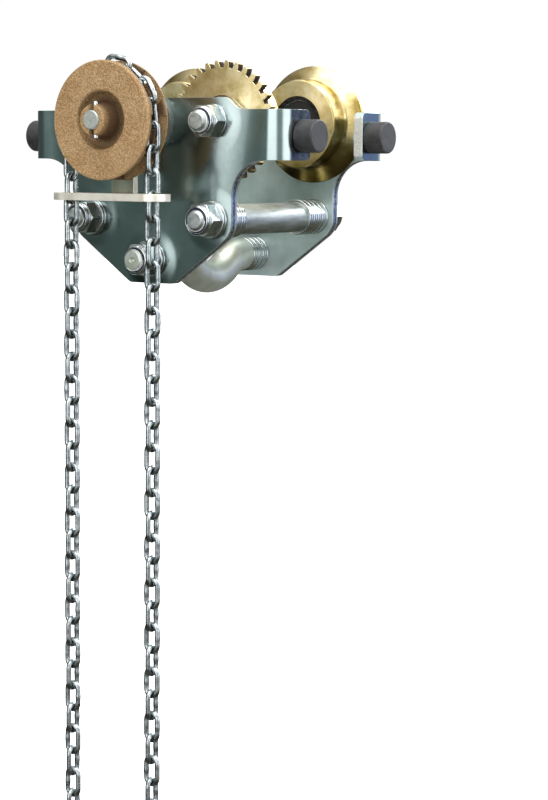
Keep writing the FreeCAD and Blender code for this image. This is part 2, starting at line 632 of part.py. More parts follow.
on_plate = {side: ["0"] for side in BAR_WASHERS}
on_washer = {side: ["washer_thick"] for side in BAR_WASHERS}
each_washer = {side: [f"{number} * washer_thick" for number in range(count)]
               for side, count in BAR_WASHERS.items()}
on_washers = {side: [f"{count} * washer_thick"] for side, count in BAR_WASHERS.items()}
clear_of_washers = {side: [f"{count} * washer_thick + side_gap"] for side, count in BAR_WASHERS.items()}
group("plate_washers", on_plates(axle_washer, axle_ends, on_plate)
      + on_plates(plain_washer, bar_ends + load_end, each_washer))
for title, master in (("nuts", lock_nut), ("nut_inserts", nut_insert)):
    group("plate_lock_" + title, on_plates(master, axle_ends, on_washer)
          + on_plates(master, bar_ends, on_washers))
group("load_bar_lock_nuts", on_plates(lock_nut, load_end, clear_of_washers))
group("load_bar_nut_inserts", on_plates(nut_insert, load_end, clear_of_washers))

# %% Rubber buffers on the bent ears
stud_bore = "stud_dia / 2"
buffer_profile = [("0", "stud_bury"), (stud_bore, "stud_bury"), (stud_bore, "0"), ("buffer_dia / 2", "0"),
                  ("buffer_dia / 2", "buffer_length - buffer_edge"),
                  ("buffer_dia / 2 - buffer_edge", "buffer_length"), ("0", "buffer_length")]
stud_tip = "-(plate_thick + stud_end)"
stud = turned("stud", [("0", stud_tip), (f"{stud_bore} - stud_chamfer", stud_tip),
                       (stud_bore, f"{stud_tip} + stud_chamfer"), (stud_bore, "stud_bury"),
                       ("0", "stud_bury")])
small_corner = "buffer_nut_flats / sqrt(3)"
small_blank = turned("buffer_nut_blank", [
    ("stud_dia / 2 + bolt_fit", "0"), (small_corner, "0"),
    (small_corner, "buffer_nut_height - buffer_nut_chamfer / 2"),
    (f"{small_corner} - buffer_nut_chamfer", "buffer_nut_height"),
    ("stud_dia / 2 + bolt_fit", "buffer_nut_height")])
small_nut = doc.addObject("Part::MultiCommon", "buffer_nut")
small_nut.Shapes = [small_blank, hexagon("buffer_nut_hexagon", "buffer_nut_flats", "buffer_nut_height")]
studs = []
small_nuts = []
for side, sign, _ in SIDES:
    for end, end_sign, turn in ENDS:
        at = (end_sign + EAR_HALF, inward(sign, BUFFER_Y), BUFFER_Z)
        keep(place(turned(f"{side}_{end}_buffer", buffer_profile), at, turn))
        studs.append((stud, at, turn))
        back = TO_RIGHT if turn is TO_LEFT else TO_LEFT
        small_nuts.append((small_nut, (end_sign + EAR_INNER, at[1], at[2]), back))
group("buffer_studs", studs)
group("buffer_nuts", small_nuts)

# %% Drive: shaft in two bushes, pinion and key at its inner end, hand chain wheel at the outer end
shaft_length = f"{HAND_WHEEL_Y} + {HUB_END} + shaft_tip - shaft_inner"
ring_end = f"{PINION_Y} - shaft_ring_gap - shaft_inner"
ring_start = f"{ring_end} - shaft_ring_thick"
ring_floor = "shaft_dia / 2 - shaft_ring_depth"
shaft_blank = turned("drive_shaft_blank", [
    ("0", "0"), ("shaft_dia / 2 - shaft_chamfer", "0"), ("shaft_dia / 2", "shaft_chamfer"),
    ("shaft_dia / 2", ring_start), (ring_floor, ring_start), (ring_floor, ring_end),
    ("shaft_dia / 2", ring_end), ("shaft_dia / 2", f"{shaft_length} - shaft_chamfer"),
    ("shaft_dia / 2 - shaft_chamfer", shaft_length), ("0", shaft_length)])
key_z = "shaft_dia / 2 - key_depth"
key_at = ("-key_width / 2", f"{PINION_Y} - shaft_inner", key_z)
key_sizes = dict(Length="key_width", Width="pinion_face", Height="key_height")
shaft_slot = primitive("Box", "shaft_key_slot", key_at, **key_sizes)
pin_y = f"{HAND_WHEEL_Y} + {HUB_END} - pin_inset"
pin_hole = primitive("Cylinder", "shaft_pin_hole", ("0", f"{pin_y} - shaft_inner", "-pin_length / 2"),
                     Radius="pin_dia / 2", Height="pin_length")
shaft = cut("drive_shaft", shaft_blank, fused("shaft_cuts", [shaft_slot, pin_hole]))
keep(place(shaft, ("0", "-shaft_inner", AXLE_Z), AROUND))

pinion_root = size("wheel_base") / (GEAR_TEETH + PINION_TEETH) * PINION_TEETH / 2 - size("gear_dedendum")
pinion_turn = GEAR_REST_TURN * GEAR_TEETH / PINION_TEETH
pinion_blank = toothed("pinion_teeth", PINION_TEETH, size("pinion_face"), pinion_root - size("shaft_dia") / 2,
                       math.pi + pinion_turn, UNDERCUT_SHARE)
pinion_slot = primitive("Box", "pinion_key_slot", ("-key_width / 2", "0", key_z), **key_sizes)
pinion = cut("drive_pinion", pinion_blank, pinion_slot)
keep(place(pinion, ("0", f"-{PINION_Y}", AXLE_Z), AROUND))
keep(primitive("Box", "pinion_key", ("key_width / 2", f"-{PINION_Y}", f"{AXLE_Z} + {key_z}"), AROUND,
               **key_sizes))
keep(primitive("Cylinder", "hand_wheel_pin", ("0", f"-({pin_y})", f"{AXLE_Z} - pin_length / 2"),
               Radius="pin_dia / 2", Height="pin_length"))
shaft_ring = ring("shaft_circlip", ring_floor, "shaft_ring_dia / 2", ring_start, ring_end)
keep(place(shaft_ring, ("0", "-shaft_inner", AXLE_Z), AROUND))
thrust = ring("thrust_washer", "shaft_dia / 2 + side_gap", "thrust_washer_dia / 2", "0",
              "thrust_washer_thick")
keep(place(thrust, ("0", f"-({PLATE_IN} - thrust_washer_thick)", AXLE_Z), AROUND))

# Hand chain wheel, turned from its back face; the chain runs in a slot between two shoulders
plane_at = "hub_back + chain_plane"
rim = "hand_wheel_dia / 2"
back_floor = "hub_back + back_recess"
front_floor = f"{WHEEL_FRONT} - recess"
chain_wheel = turned("hand_chain_wheel", [
    (SHAFT_BORE, "0"), ("hub_back_dia / 2", "0"), ("hub_back_dia / 2", back_floor),
    ("back_recess_dia / 2", back_floor), ("back_recess_dia / 2", "hub_back"),
    (f"{rim} - rim_edge", "hub_back"), (rim, "hub_back + rim_edge"),
    (rim, f"{plane_at} - chain_groove / 2"), ("chain_shoulder_dia / 2", f"{plane_at} - chain_groove / 2"),
    ("chain_shoulder_dia / 2", f"{plane_at} - chain_slot / 2"),
    ("chain_slot_dia / 2", f"{plane_at} - chain_slot / 2"),
    ("chain_slot_dia / 2", f"{plane_at} + chain_slot / 2"),
    ("chain_shoulder_dia / 2", f"{plane_at} + chain_slot / 2"),
    ("chain_shoulder_dia / 2", f"{plane_at} + chain_groove / 2"),
    (rim, f"{plane_at} + chain_groove / 2"), (rim, f"{WHEEL_FRONT} - rim_edge"),
    (f"{rim} - rim_edge", WHEEL_FRONT), ("recess_dia / 2", WHEEL_FRONT),
    ("recess_dia / 2 - recess_draft", front_floor), ("hub_base_dia / 2", front_floor),
    ("hub_dia / 2", HUB_END), (SHAFT_BORE, HUB_END)])
doc.recompute()
front_face = size("hub_back") + size("hand_wheel_width")
recess_floor = front_face - size("recess")
floor_dia = size("recess_dia") - 2 * size("recess_draft")
floor_rings = [(size("hub_base_dia"), recess_floor), (floor_dia, recess_floor)]
for title, rings in (("recess_round", [(size("recess_dia"), front_face)]), ("casting_round", floor_rings),
                     ("hub_round", [(size("hub_dia"), front_face + size("hub_front"))])):
    rounded(chain_wheel, chain_wheel.Tip, title, title, rings_at(chain_wheel.Tip.Shape, rings))
notch_half = "(pin_dia / 2 + pin_fit)"
notch = f"{HUB_END} - pin_inset - {notch_half}"
beyond = f"{HUB_END} + pin_inset"
pocket(chain_wheel, draw(chain_wheel, "XY_Plane", [[
    (f"-{notch_half}", notch), (notch_half, notch), (notch_half, beyond), (f"-{notch_half}", beyond)]]))
half_length = "pocket_length / 2"
pocket_sketch = draw(chain_wheel, "XZ_Plane", [[
    (f"-{half_length}", "pocket_floor_dia / 2"), (half_length, "pocket_floor_dia / 2"),
    (half_length, "hand_wheel_dia"), (f"-{half_length}", "hand_wheel_dia")]])
pocket_sketch.setExpression("AttachmentOffset.Base.z", cells(f"-({plane_at})"))
link_pocket = pocket(chain_wheel, pocket_sketch, through=False)
link_pocket.setExpression("Length", cells("pocket_width"))
pockets = chain_wheel.newObject("PartDesign::PolarPattern", "link_pockets")
pockets.Originals = [link_pocket]
pockets.Axis = (next(item for item in chain_wheel.Origin.OriginFeatures if item.Role == "Y_Axis"), [""])
pockets.Angle = FULL_TURN
pockets.Occurrences = CHAIN_POCKETS
chain_wheel.Tip = pockets
keep(place(chain_wheel, ("0", f"-{HAND_WHEEL_Y}", AXLE_Z), AROUND))

# Housing with its spigot in the front plate, screws and bushes
housing_blank = turned("shaft_housing_blank", [
    ("bush_dia / 2", "-plate_thick"), ("housing_spigot_dia / 2", "-plate_thick"),
    ("housing_spigot_dia / 2", "0"), ("housing_flange_dia / 2", "0"),
    ("housing_flange_dia / 2", "housing_flange"), ("housing_tube_dia / 2", "housing_flange"),
    ("housing_tube_dia / 2", "housing_length - housing_nose"),
    ("housing_nose_dia / 2", "housing_length - housing_nose"), ("housing_nose_dia / 2", "housing_length"),
    ("bush_dia / 2", "housing_length")])


def screw_holes(name, spots, dia, start, length):
    """Round holes along Y at (x, z) spots."""
    holes = [primitive("Cylinder", f"{name}_{number}", (x, start, z), Z_TO_Y,
                       Radius=f"{dia} / 2", Height=length)
             for number, (x, z) in enumerate(spots, start=1)]
    return fused(name, holes)


guide_ring = "guide_screw_circle / 2"
guide_spots = [(f"{guide_ring} * cos({angle} rad)", f"{guide_ring} * sin({angle} rad)")
               for angle in (turn + math.pi / 2 for turn in around(GUIDE_SCREWS))]
flange_holes = screw_holes("flange_screw_holes", screw_spots, "housing_screw_dia", "0", "housing_flange")
tapped_start = "housing_length - guide_screw_length + guide_thick"
tapped_holes = screw_holes("nose_screw_holes", guide_spots, "guide_screw_dia", tapped_start,
                           "guide_screw_length - guide_thick")
housing = cut("shaft_housing", housing_blank, fused("housing_cuts", [flange_holes, tapped_holes]))
keep(place(housing, ("0", f"-{PLATE_OUT}", AXLE_Z), AROUND))

screw_radius = "housing_screw_dia / 2 - bolt_fit"
housing_screw_blank = turned("housing_screw_blank", [
    ("0", "-housing_screw_length"), (screw_radius, "-housing_screw_length"), (screw_radius, "0"),
    ("housing_screw_head_dia / 2", "0"), ("housing_screw_head_dia / 2", "housing_screw_head"),
    ("0", "housing_screw_head")])
socket_cut = hexagon("housing_screw_socket_cut", "housing_screw_socket", "housing_screw_head")
place(socket_cut, ("0", "housing_screw_head / 2", "0"), Z_TO_Y)
housing_screw = cut("housing_screw", housing_screw_blank, socket_cut)
group("housing_screws", [(housing_screw, (f"-({x})", f"-({PLATE_OUT} + housing_flange)",
                                          f"{AXLE_Z} + {z}"), AROUND) for x, z in screw_spots])

bush = ring("shaft_bush", SHAFT_BORE, "bush_dia / 2", "0", "bush_length")
front_bush_y = f"{GUIDE_FACE} - bush_length"
group("shaft_bushes", [(bush, ("0", f"-({PLATE_IN})", AXLE_Z), AROUND),
                       (bush, ("0", f"-({front_bush_y})", AXLE_Z), AROUND)])

# %% Chain guide: an eye on the housing's nose, a strip down behind the hand wheel, two chain eyes below
guide_back = f"{GUIDE_FACE} - guide_thick"
eye_disc = primitive("Cylinder", "guide_eye_disc", ("0", f"-({guide_back})", AXLE_Z), Z_TO_BACK,
                     Radius="housing_nose_dia / 2", Height="guide_thick")
shelf_bottom = f"{GUIDE_Z} - guide_thick"
strip = primitive("Box", "guide_strip_blank", ("-guide_strip / 2", f"-{GUIDE_FACE}", shelf_bottom),
                  Length="guide_strip", Width="guide_thick", Height="guide_drop + guide_thick")
shelf_edge = f"-({CHAIN_Y} + guide_width / 2)"
shelf = primitive("Box", "guide_shelf", ("-guide_eye_gap / 2", shelf_edge, shelf_bottom),
                  Length="guide_eye_gap", Width="guide_width", Height="guide_thick")
rounds = []
eyes = []
for end, end_sign, _ in ENDS:
    eye_at = (end_sign + "guide_eye_gap / 2", f"-{CHAIN_Y}", shelf_bottom)
    rounds.append(primitive("Cylinder", f"guide_{end}_round", eye_at, Radius="guide_width / 2",
                            Height="guide_thick"))
    eyes.append(primitive("Cylinder", f"guide_{end}_eye", eye_at, Radius="guide_eye_dia / 2",
                          Height="guide_thick"))
guide_blank = fused("chain_guide_blank", [eye_disc, strip, shelf] + rounds)
bush_hole = primitive("Cylinder", "guide_bush_hole", ("0", f"-({guide_back})", AXLE_Z), Z_TO_BACK,
                      Radius="bush_dia / 2 + shaft_fit", Height="guide_thick")
sinks = []
for number, (x, z) in enumerate(guide_spots, start=1):
    spot = (f"-({x})", f"-({guide_back})", f"{AXLE_Z} + {z}")
    sinks.append(primitive("Cylinder", f"guide_screw_hole_{number}", spot, Z_TO_BACK,
                           Radius="guide_screw_dia / 2 + bolt_fit", Height="guide_thick"))
    head = (spot[0], f"-({GUIDE_FACE} - guide_screw_head)", spot[2])
    sinks.append(primitive("Cone", f"guide_screw_sink_{number}", head, Z_TO_BACK, Height="guide_screw_head",
                           Radius1="guide_screw_dia / 2 + bolt_fit",
                           Radius2="guide_screw_head_dia / 2 + bolt_fit"))
guide_holes = fused("chain_guide_holes", eyes + [bush_hole] + sinks)
guide = cut("chain_guide", guide_blank, guide_holes)
keep(guide)

guide_screw = turned("guide_screw", [
    ("0", "-guide_screw_length"), ("guide_screw_dia / 2", "-guide_screw_length"),
    ("guide_screw_dia / 2", "-guide_screw_head"), ("guide_screw_head_dia / 2", "0"), ("0", "0")])
group("guide_screws", [(guide_screw, (f"-({x})", f"-({GUIDE_FACE})", f"{AXLE_Z} + {z}"), AROUND)
                       for x, z in guide_spots])

# %% Hand chain: equal welded links walked round one closed path
wire = "chain_wire / 2"
bend_radius = "(chain_width - chain_wire) / 2"
leg = "(chain_pitch + chain_play - chain_width + 2 * chain_wire)"
link_legs = [primitive("Cylinder", f"chain_leg_{end}", (end_sign + bend_radius, "0", f"-{leg} / 2"),
                       Radius=wire, Height=leg) for end, end_sign, _ in ENDS]
link_bows = []
for bow, bow_sign, turn in (("upper", "", Z_TO_BACK), ("lower", "-", Z_TO_Y)):
    half_ring = primitive("Torus", f"chain_bow_{bow}", ("0", "0", f"{bow_sign}{leg} / 2"), turn,
                          Radius1=bend_radius, Radius2=wire)
    half_ring.Angle3 = FULL_TURN / 2
    link_bows.append(half_ring)
chain_link = fused("chain_link", link_legs + link_bows)


def chain_point(run, fall):
    """A point (x, z from the axle) on the path: right fall, bottom loop, left fall, over the wheel."""
    half = size("guide_eye_gap") / 2
    stretch, part = divmod(run % 4, 1)
    if stretch == 0:
        return FreeCAD.Vector(half, 0, -fall * part)
    if stretch == 1:
        angle = math.pi * part
        return FreeCAD.Vector(half * math.cos(angle), 0, -fall - size("chain_loop_depth") * math.sin(angle))
    if stretch == 2:
        return FreeCAD.Vector(-half, 0, fall * part - fall)
    angle = math.pi * (1 - part)
    return FreeCAD.Vector(half * math.cos(angle), 0, size("chain_rise") * math.sin(angle))


def halve(low, high, too_far):
    """Close in on the value where a test turns true."""
    for _ in range(60):
        middle = (low + high) / 2
        low, high = (low, middle) if too_far(middle) else (middle, high)
    return low


def chain_joints(fall):
    """Joints along the path, one link apart; upright and flat links take turns."""
    flat = size("chain_pitch") + size("chain_play") + size("chain_wire")
    upright = 2 * size("chain_pitch") - flat
    runs = [size("chain_start") / fall]
    for number in range(CHAIN_LINKS):
        here = chain_point(runs[-1], fall)
        chord = flat if number % 2 else upright
        reached = lambda run: (chain_point(run, fall) - here).Length > chord
        # A link is far shorter than a third of any stretch of the path
        runs.append(halve(runs[-1], runs[-1] + 1 / 3, reached))
    return runs


def ends_short(fall):
    """Whether the last link stops before the loop closes."""
    runs = chain_joints(fall)
    return runs[-1] < runs[0] + 4


half_chain = CHAIN_LINKS * size("chain_pitch") / 2
fall_length = halve(half_chain / 4, half_chain, ends_short)
joints = [chain_point(run, fall_length) for run in chain_joints(fall_length)]
chain_origin = FreeCAD.Vector(0, 0, size("tread_dia") / 2)
chain_groups = {"wheel_wrap": [], "right_fall": [], "bottom_loop": [], "left_fall": []}
across_wheel = FreeCAD.Vector(0, 1, 0)
for number, (first, second) in enumerate(zip(joints, joints[1:])):
    centre = (first + second) / 2
    down = (second - first).normalize()
    sideways = down.cross(across_wheel)
    width = across_wheel if number % 2 else sideways
    link = doc.addObject("App::Link", f"chain_link_{number + 1}")
    link.LinkedObject = chain_link
    turn = FreeCAD.Rotation(width, FreeCAD.Vector(), down, "ZXY")
    link.Placement = FreeCAD.Placement(centre + chain_origin, turn)
    link.setExpression("Placement.Base.y", cells(f"-{CHAIN_Y}"))
    if centre.z > 0:
        chain_groups["wheel_wrap"].append(link)
    elif centre.z < -fall_length:
        chain_groups["bottom_loop"].append(link)
    else:
        chain_groups["right_fall" if centre.x > 0 else "left_fall"].append(link)
for stretch, links in chain_groups.items():
    node = doc.addObject("Part::Compound", "hand_chain_" + stretch)
    node.Links = links
    keep(node)

# %% Check every piece and write it
doc.recompute()
for item in doc.Objects:
    if any(state in ("Invalid", "Error") for state in item.State):
        raise RuntimeError(f"{item.Label}: {item.State}")
os.makedirs("parts", exist_ok=True)
for node in nodes:
    if node.Shape.isNull() or not node.Shape.isValid():
        raise RuntimeError(f"{node.Label}: bad shape")
    node.Shape.exportStep(f"parts/{node.Label}.step")
print(len(nodes), "sub-parts written")
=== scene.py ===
# %% [markdown]
# # A geared beam trolley
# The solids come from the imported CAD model, which is loaded as a fixed frame: every piece made here stands
# where the CAD says. Blender adds what a CAD solid lacks: rounded edges, threads, weld marks and real
# finishes.

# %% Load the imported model
import json
import math
import bmesh
import bpy
from mathutils import Matrix, Vector


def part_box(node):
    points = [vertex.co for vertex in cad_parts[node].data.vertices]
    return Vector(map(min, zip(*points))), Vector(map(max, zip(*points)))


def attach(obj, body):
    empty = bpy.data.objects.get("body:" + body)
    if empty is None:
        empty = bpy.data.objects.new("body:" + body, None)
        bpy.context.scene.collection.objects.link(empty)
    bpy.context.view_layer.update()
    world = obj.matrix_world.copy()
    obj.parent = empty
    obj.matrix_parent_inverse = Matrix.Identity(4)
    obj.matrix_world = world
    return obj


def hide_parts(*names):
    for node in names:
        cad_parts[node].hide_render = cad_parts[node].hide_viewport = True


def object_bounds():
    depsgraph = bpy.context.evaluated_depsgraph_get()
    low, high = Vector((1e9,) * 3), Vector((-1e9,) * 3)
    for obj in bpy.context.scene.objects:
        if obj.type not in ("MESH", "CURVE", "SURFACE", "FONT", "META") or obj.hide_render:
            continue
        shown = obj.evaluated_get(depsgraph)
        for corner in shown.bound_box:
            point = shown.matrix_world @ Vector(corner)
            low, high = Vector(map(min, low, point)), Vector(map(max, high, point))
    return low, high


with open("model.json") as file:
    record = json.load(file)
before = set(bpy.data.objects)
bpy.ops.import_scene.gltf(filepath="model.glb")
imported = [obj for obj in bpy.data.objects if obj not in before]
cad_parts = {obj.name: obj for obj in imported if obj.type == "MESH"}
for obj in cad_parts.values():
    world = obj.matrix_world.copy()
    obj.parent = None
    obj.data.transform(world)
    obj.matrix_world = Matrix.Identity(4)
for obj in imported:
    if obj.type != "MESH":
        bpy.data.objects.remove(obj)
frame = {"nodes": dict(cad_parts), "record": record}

MM = 0.001
cad_box = [list(corner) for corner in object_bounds()]
joint_at = {joint["name"]: joint["pos_m"] for joint in frame["record"]["behaviour"]["joints"]}
scene = bpy.context.scene
print("CAD box in metres:", cad_box)

# %% [markdown]
# ## Camera
# The photograph was taken with a long lens from a little above the axles and well to the right. The angles,
# the distance and the lens below were found by matching points of the trolley to their places in the
# photograph, so that the picture of 548 by 800 pixels shows the same view with no lens shift.

# %% Camera
PHOTO_HEIGHT_PX = 800
FOCAL_PX = 2171
CAMERA_AZIMUTH = math.radians(33.17)
CAMERA_ELEVATION = math.radians(6.33)
CAMERA_ROLL = math.radians(0.43)
CAMERA_DISTANCE = 2185 * MM
CAMERA_TARGET = Vector((81.5, 0, -231.65)) * MM
FILM_HEIGHT_MM = 36


def outwards(azimuth, elevation):
    """The direction from the trolley to a heading and a height; heading 0 is straight in front."""
    flat = math.cos(elevation)
    return Vector((math.sin(azimuth) * flat, -math.cos(azimuth) * flat, math.sin(elevation)))


lens = bpy.data.cameras.new("photo_camera")
lens.sensor_fit = "VERTICAL"
lens.sensor_height = FILM_HEIGHT_MM
lens.lens = FOCAL_PX / PHOTO_HEIGHT_PX * FILM_HEIGHT_MM
lens.clip_end = 50
camera = bpy.data.objects.new("photo_camera", lens)
scene.collection.objects.link(camera)
back = outwards(CAMERA_AZIMUTH, CAMERA_ELEVATION)
level = Vector((math.cos(CAMERA_AZIMUTH), math.sin(CAMERA_AZIMUTH), 0))
right = level * math.cos(CAMERA_ROLL) + back.cross(level) * math.sin(CAMERA_ROLL)
camera.matrix_world = Matrix((right, back.cross(right), back)).transposed().to_4x4()
camera.matrix_world.translation = CAMERA_TARGET + back * CAMERA_DISTANCE
scene.camera = camera
print("lens in mm:", round(lens.lens, 1))

# %% [markdown]
# ## Small helpers for finishes
# Every finish is a Principled shader with a few nodes in front of it. One helper adds a node, sets it and
# links it. Colours are written as sRGB hex values and turned to linear, because that is what the shader
# expects. Most finishes here are one noise that drives both the tone and the gloss, because where a plating
# is thin or dull it is darker too. That pattern is a helper of its own, and so are fine pits.


# %% Finish helpers
def linear(code):
    """A linear RGBA colour from an sRGB hex code."""
    parts = [int(code[start:start + 2], 16) / 255 for start in (1, 3, 5)]
    bent = [part / 12.92 if part <= 0.04045 else ((part + 0.055) / 1.055) ** 2.4 for part in parts]
    return (*bent, 1.0)


def plug(tree, node, sockets):
    """Set a node's inputs to plain values, or link them to sockets or to the main output of other nodes."""
    for name, value in sockets.items():
        if isinstance(value, bpy.types.Node):
            value = next(socket for socket in value.outputs if socket.enabled)
        if isinstance(value, bpy.types.NodeSocket):
            tree.links.new(value, node.inputs[name])
        else:
            node.inputs[name].default_value = value


def add(tree, kind, sockets=None, stops=(), **settings):
    """Add a node, set its properties and plug its inputs; stops are a ramp's (position, hex) pairs."""
    made = tree.nodes.new(kind)
    for name, value in settings.items():
        setattr(made, name, value)
    plug(tree, made, sockets or {})
    if stops:
        elements = made.color_ramp.elements
        while len(elements) < len(stops):
            elements.new(0.5)
        for element, (position, code) in zip(elements, stops):
            element.position = position
            element.color = linear(code)
    return made


def per_mm(size):
    """Texture scale for features of about that many millimetres."""
    return 1 / (size * MM)


def surface(name):
    """A new finish: its node tree, its shader and the object's own coordinates."""
    finish = bpy.data.materials.new(name)
    finish.use_nodes = True
    tree = finish.node_tree
    place = add(tree, "ShaderNodeTexCoord").outputs["Object"]
    return finish, tree, tree.nodes["Principled BSDF"], place


def mottled(name, grain, stops, gloss, metallic=0.0, stretch=None):
    """A finish led by one noise: grain is its size in mm, detail and roughness, gloss a value or a range,
    and stretch what the coordinates are multiplied by."""
    finish, tree, shader, place = surface(name)
    if stretch:
        place = add(tree, "ShaderNodeMapping", {"Vector": place, "Scale": stretch})
    size, detail, rough = grain
    noise = add(tree, "ShaderNodeTexNoise", {
        "Vector": place, "Scale": per_mm(size), "Detail": detail, "Roughness": rough})
    tone = add(tree, "ShaderNodeValToRGB", {"Fac": noise}, stops)
    if isinstance(gloss, tuple):
        gloss = add(tree, "ShaderNodeMapRange", {"Value": noise, "To Min": gloss[0], "To Max": gloss[1]})
    plug(tree, shader, {"Base Color": tone, "Roughness": gloss, "Metallic": metallic})
    return finish


def opened(finish):
    """A finish's node tree, its shader and the tone that reaches the shader."""
    tree = finish.node_tree
    shader = tree.nodes["Principled BSDF"]
    return tree, shader, shader.inputs["Base Color"].links[0].from_socket


def pitted(finish, grain, strength, depth):
    """Give a finish fine pits: grain as above, depth in mm."""
    tree, shader, tone = opened(finish)
    place = add(tree, "ShaderNodeTexCoord").outputs["Object"]
    size, detail, rough = grain
    pits = add(tree, "ShaderNodeTexNoise", {
        "Vector": place, "Scale": per_mm(size), "Detail": detail, "Roughness": rough})
    skin = add(tree, "ShaderNodeBump", {"Height": pits, "Strength": strength, "Distance": depth * MM})
    plug(tree, shader, {"Normal": skin})


print("helpers ready")

# %% [markdown]
# ## Zinc on the side plates
# The side plates are rolled steel with a bright zinc electroplate. Their reflections are what the eye reads
# first: one broad upright band, a light patch beside each nut, and two bright lines down each bend. A flat
# mirror can't show those, so the plate's own unevenness is drawn as bump: it was drawn in where the ears
# were bent, it swelled round the punched holes, and it ripples slowly as any rolled plate does.

# %% Rolled faces of the plates
# Distances from the plate's middle, heights on it, and distances from the middle of a bolt hole
LEAN = -0.14
DRAWN_FROM, DRAWN_TO, DRAWN_DEPTH = 52 * MM, 122 * MM, 5.8 * MM
RISE_FROM, RISE_TO, RISE_SHARE = 106 * MM, 134 * MM, 0.22
ARMS_FROM, ARMS_TO = -85 * MM, -40 * MM
SWELL_INNER, SWELL_OUTER, SWELL_HEIGHT = 15 * MM, 33 * MM, 1.6 * MM
SWELL_SHARES = (("front_right_axle", 0.4), ("right_crossbar", 1.0), ("load_bar_lock_nuts", 1.5))
RIPPLE_HEIGHT = 2 * MM
# Heights between which the painted shade on the plates fades out
PLATE_SHADE_LOW, PLATE_SHADE_HIGH = -115 * MM, 45 * MM

zinc_plate, tree, shader, place = surface("zinc_electroplate_on_rolled_plate")
cloud = add(tree, "ShaderNodeTexNoise", {
    "Vector": place, "Scale": per_mm(60), "Detail": 4, "Roughness": 0.55})
grain = add(tree, "ShaderNodeTexNoise", {"Vector": place, "Scale": per_mm(2.2), "Detail": 3})
# Ripples run up the plate, so the height is squeezed before the noise is read
squeezed = add(tree, "ShaderNodeMapping", {"Vector": place, "Scale": (1.0, 0.0, 0.3)})
ripple = add(tree, "ShaderNodeTexNoise", {"Vector": squeezed, "Scale": per_mm(85), "Detail": 1.5})
# Bending the ears drew the plate in a little before each bend, along a line that leans slightly
axes = add(tree, "ShaderNodeSeparateXYZ", {"Vector": place})
mirrored = add(tree, "ShaderNodeMath", {0: axes.outputs["X"]}, operation="ABSOLUTE")
leaning = add(tree, "ShaderNodeMath", {0: axes.outputs["Z"], 1: LEAN, 2: mirrored},
              operation="MULTIPLY_ADD")
drawn_in = add(tree, "ShaderNodeMapRange", {
    "Value": leaning, "From Min": DRAWN_FROM, "From Max": DRAWN_TO, "To Min": 0.0, "To Max": -1.0},
    interpolation_type="SMOOTHSTEP")
rise = add(tree, "ShaderNodeMapRange", {
    "Value": leaning, "From Min": RISE_FROM, "From Max": RISE_TO, "To Max": RISE_SHARE},
    interpolation_type="SMOOTHSTEP")
arms_only = add(tree, "ShaderNodeMapRange", {
    "Value": axes.outputs["Z"], "From Min": ARMS_FROM, "From Max": ARMS_TO}, interpolation_type="SMOOTHSTEP")
profile = add(tree, "ShaderNodeMath", {0: drawn_in, 1: rise}, operation="ADD")
dip = add(tree, "ShaderNodeMath", {0: profile, 1: arms_only}, operation="MULTIPLY")
# Punching and tightening raised the plate a little round every bolt hole
folded = add(tree, "ShaderNodeCombineXYZ", {"X": mirrored, "Z": axes.outputs["Z"]})
raised = None
for bar, share in SWELL_SHARES:
    near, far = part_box(bar)
    hole = (abs(near[0] + far[0]) / 2, 0.0, (near[2] + far[2]) / 2)
    apart = add(tree, "ShaderNodeVectorMath", {0: folded, 1: hole}, operation="DISTANCE")
    swell = add(tree, "ShaderNodeMapRange", {
        "Value": apart, "From Min": SWELL_INNER, "From Max": SWELL_OUTER, "To Min": share,
        "To Max": 0.0}, interpolation_type="SMOOTHSTEP")
    raised = swell if raised is None else add(
        tree, "ShaderNodeMath", {0: raised, 1: swell}, operation="MAXIMUM")
normal = None
for relief, strength, distance in ((dip, 1.0, DRAWN_DEPTH), (raised, 1.0, SWELL_HEIGHT),
                                   (ripple, 1.0, RIPPLE_HEIGHT), (grain, 0.13, 0.2 * MM)):
    below = {} if normal is None else {"Normal": normal}
    normal = add(tree, "ShaderNodeBump", {
        "Height": relief, "Strength": strength, "Distance": distance, **below})
# Painted shade: the zinc is painted darker towards the bottom of the plates
plain = add(tree, "ShaderNodeValToRGB", {"Fac": cloud},
            ((0.3, "#93A2A1"), (0.55, "#A9B7B6"), (0.75, "#BBC8C8")))
plate_low_shade_share = add(tree, "ShaderNodeMapRange", {
    "Value": axes.outputs["Z"], "From Min": PLATE_SHADE_LOW, "From Max": PLATE_SHADE_HIGH})
plate_low_shade = add(tree, "ShaderNodeValToRGB", {"Fac": plate_low_shade_share}, ((0.0, "#C4CAC8"), (1.0, "#FFFFFF")))
plate_shaded_tone = add(tree, "ShaderNodeMix", {"Factor": 1.0, 6: plain, 7: plate_low_shade}, data_type="RGBA",
             blend_type="MULTIPLY")
dull = add(tree, "ShaderNodeMapRange", {"Value": cloud, "To Min": 0.15, "To Max": 0.26})
plug(tree, shader, {"Base Color": plate_shaded_tone, "Roughness": dull, "Normal": normal, "Metallic": 1.0})
print("rolled zinc made with", len(tree.nodes), "nodes")

# %% [markdown]
# Other faces of the plates get other finishes. A sheared edge is torn and bluish in the middle, and its
# lighter tone along both rims is a painted highlight, where the bevels catch the light. The faces that look
# at the beam get a duller zinc whose lighter tone is painted light. The outer faces of the front ears get a
# dark mottled
# zinc: painted shade, the dark reflection of the buffers.

# %% Edges, inner faces and ears of the plates
PLATE_MIDDLE = 92.5 * MM
# Distances from the plate's middle plane where the torn tone gives way to the painted highlight
TORN_HALF = 1.4 * MM
RIM_HIGHLIGHT_FROM = 2.8 * MM
EDGE_GRAIN = (2.5, 5, 0.65)

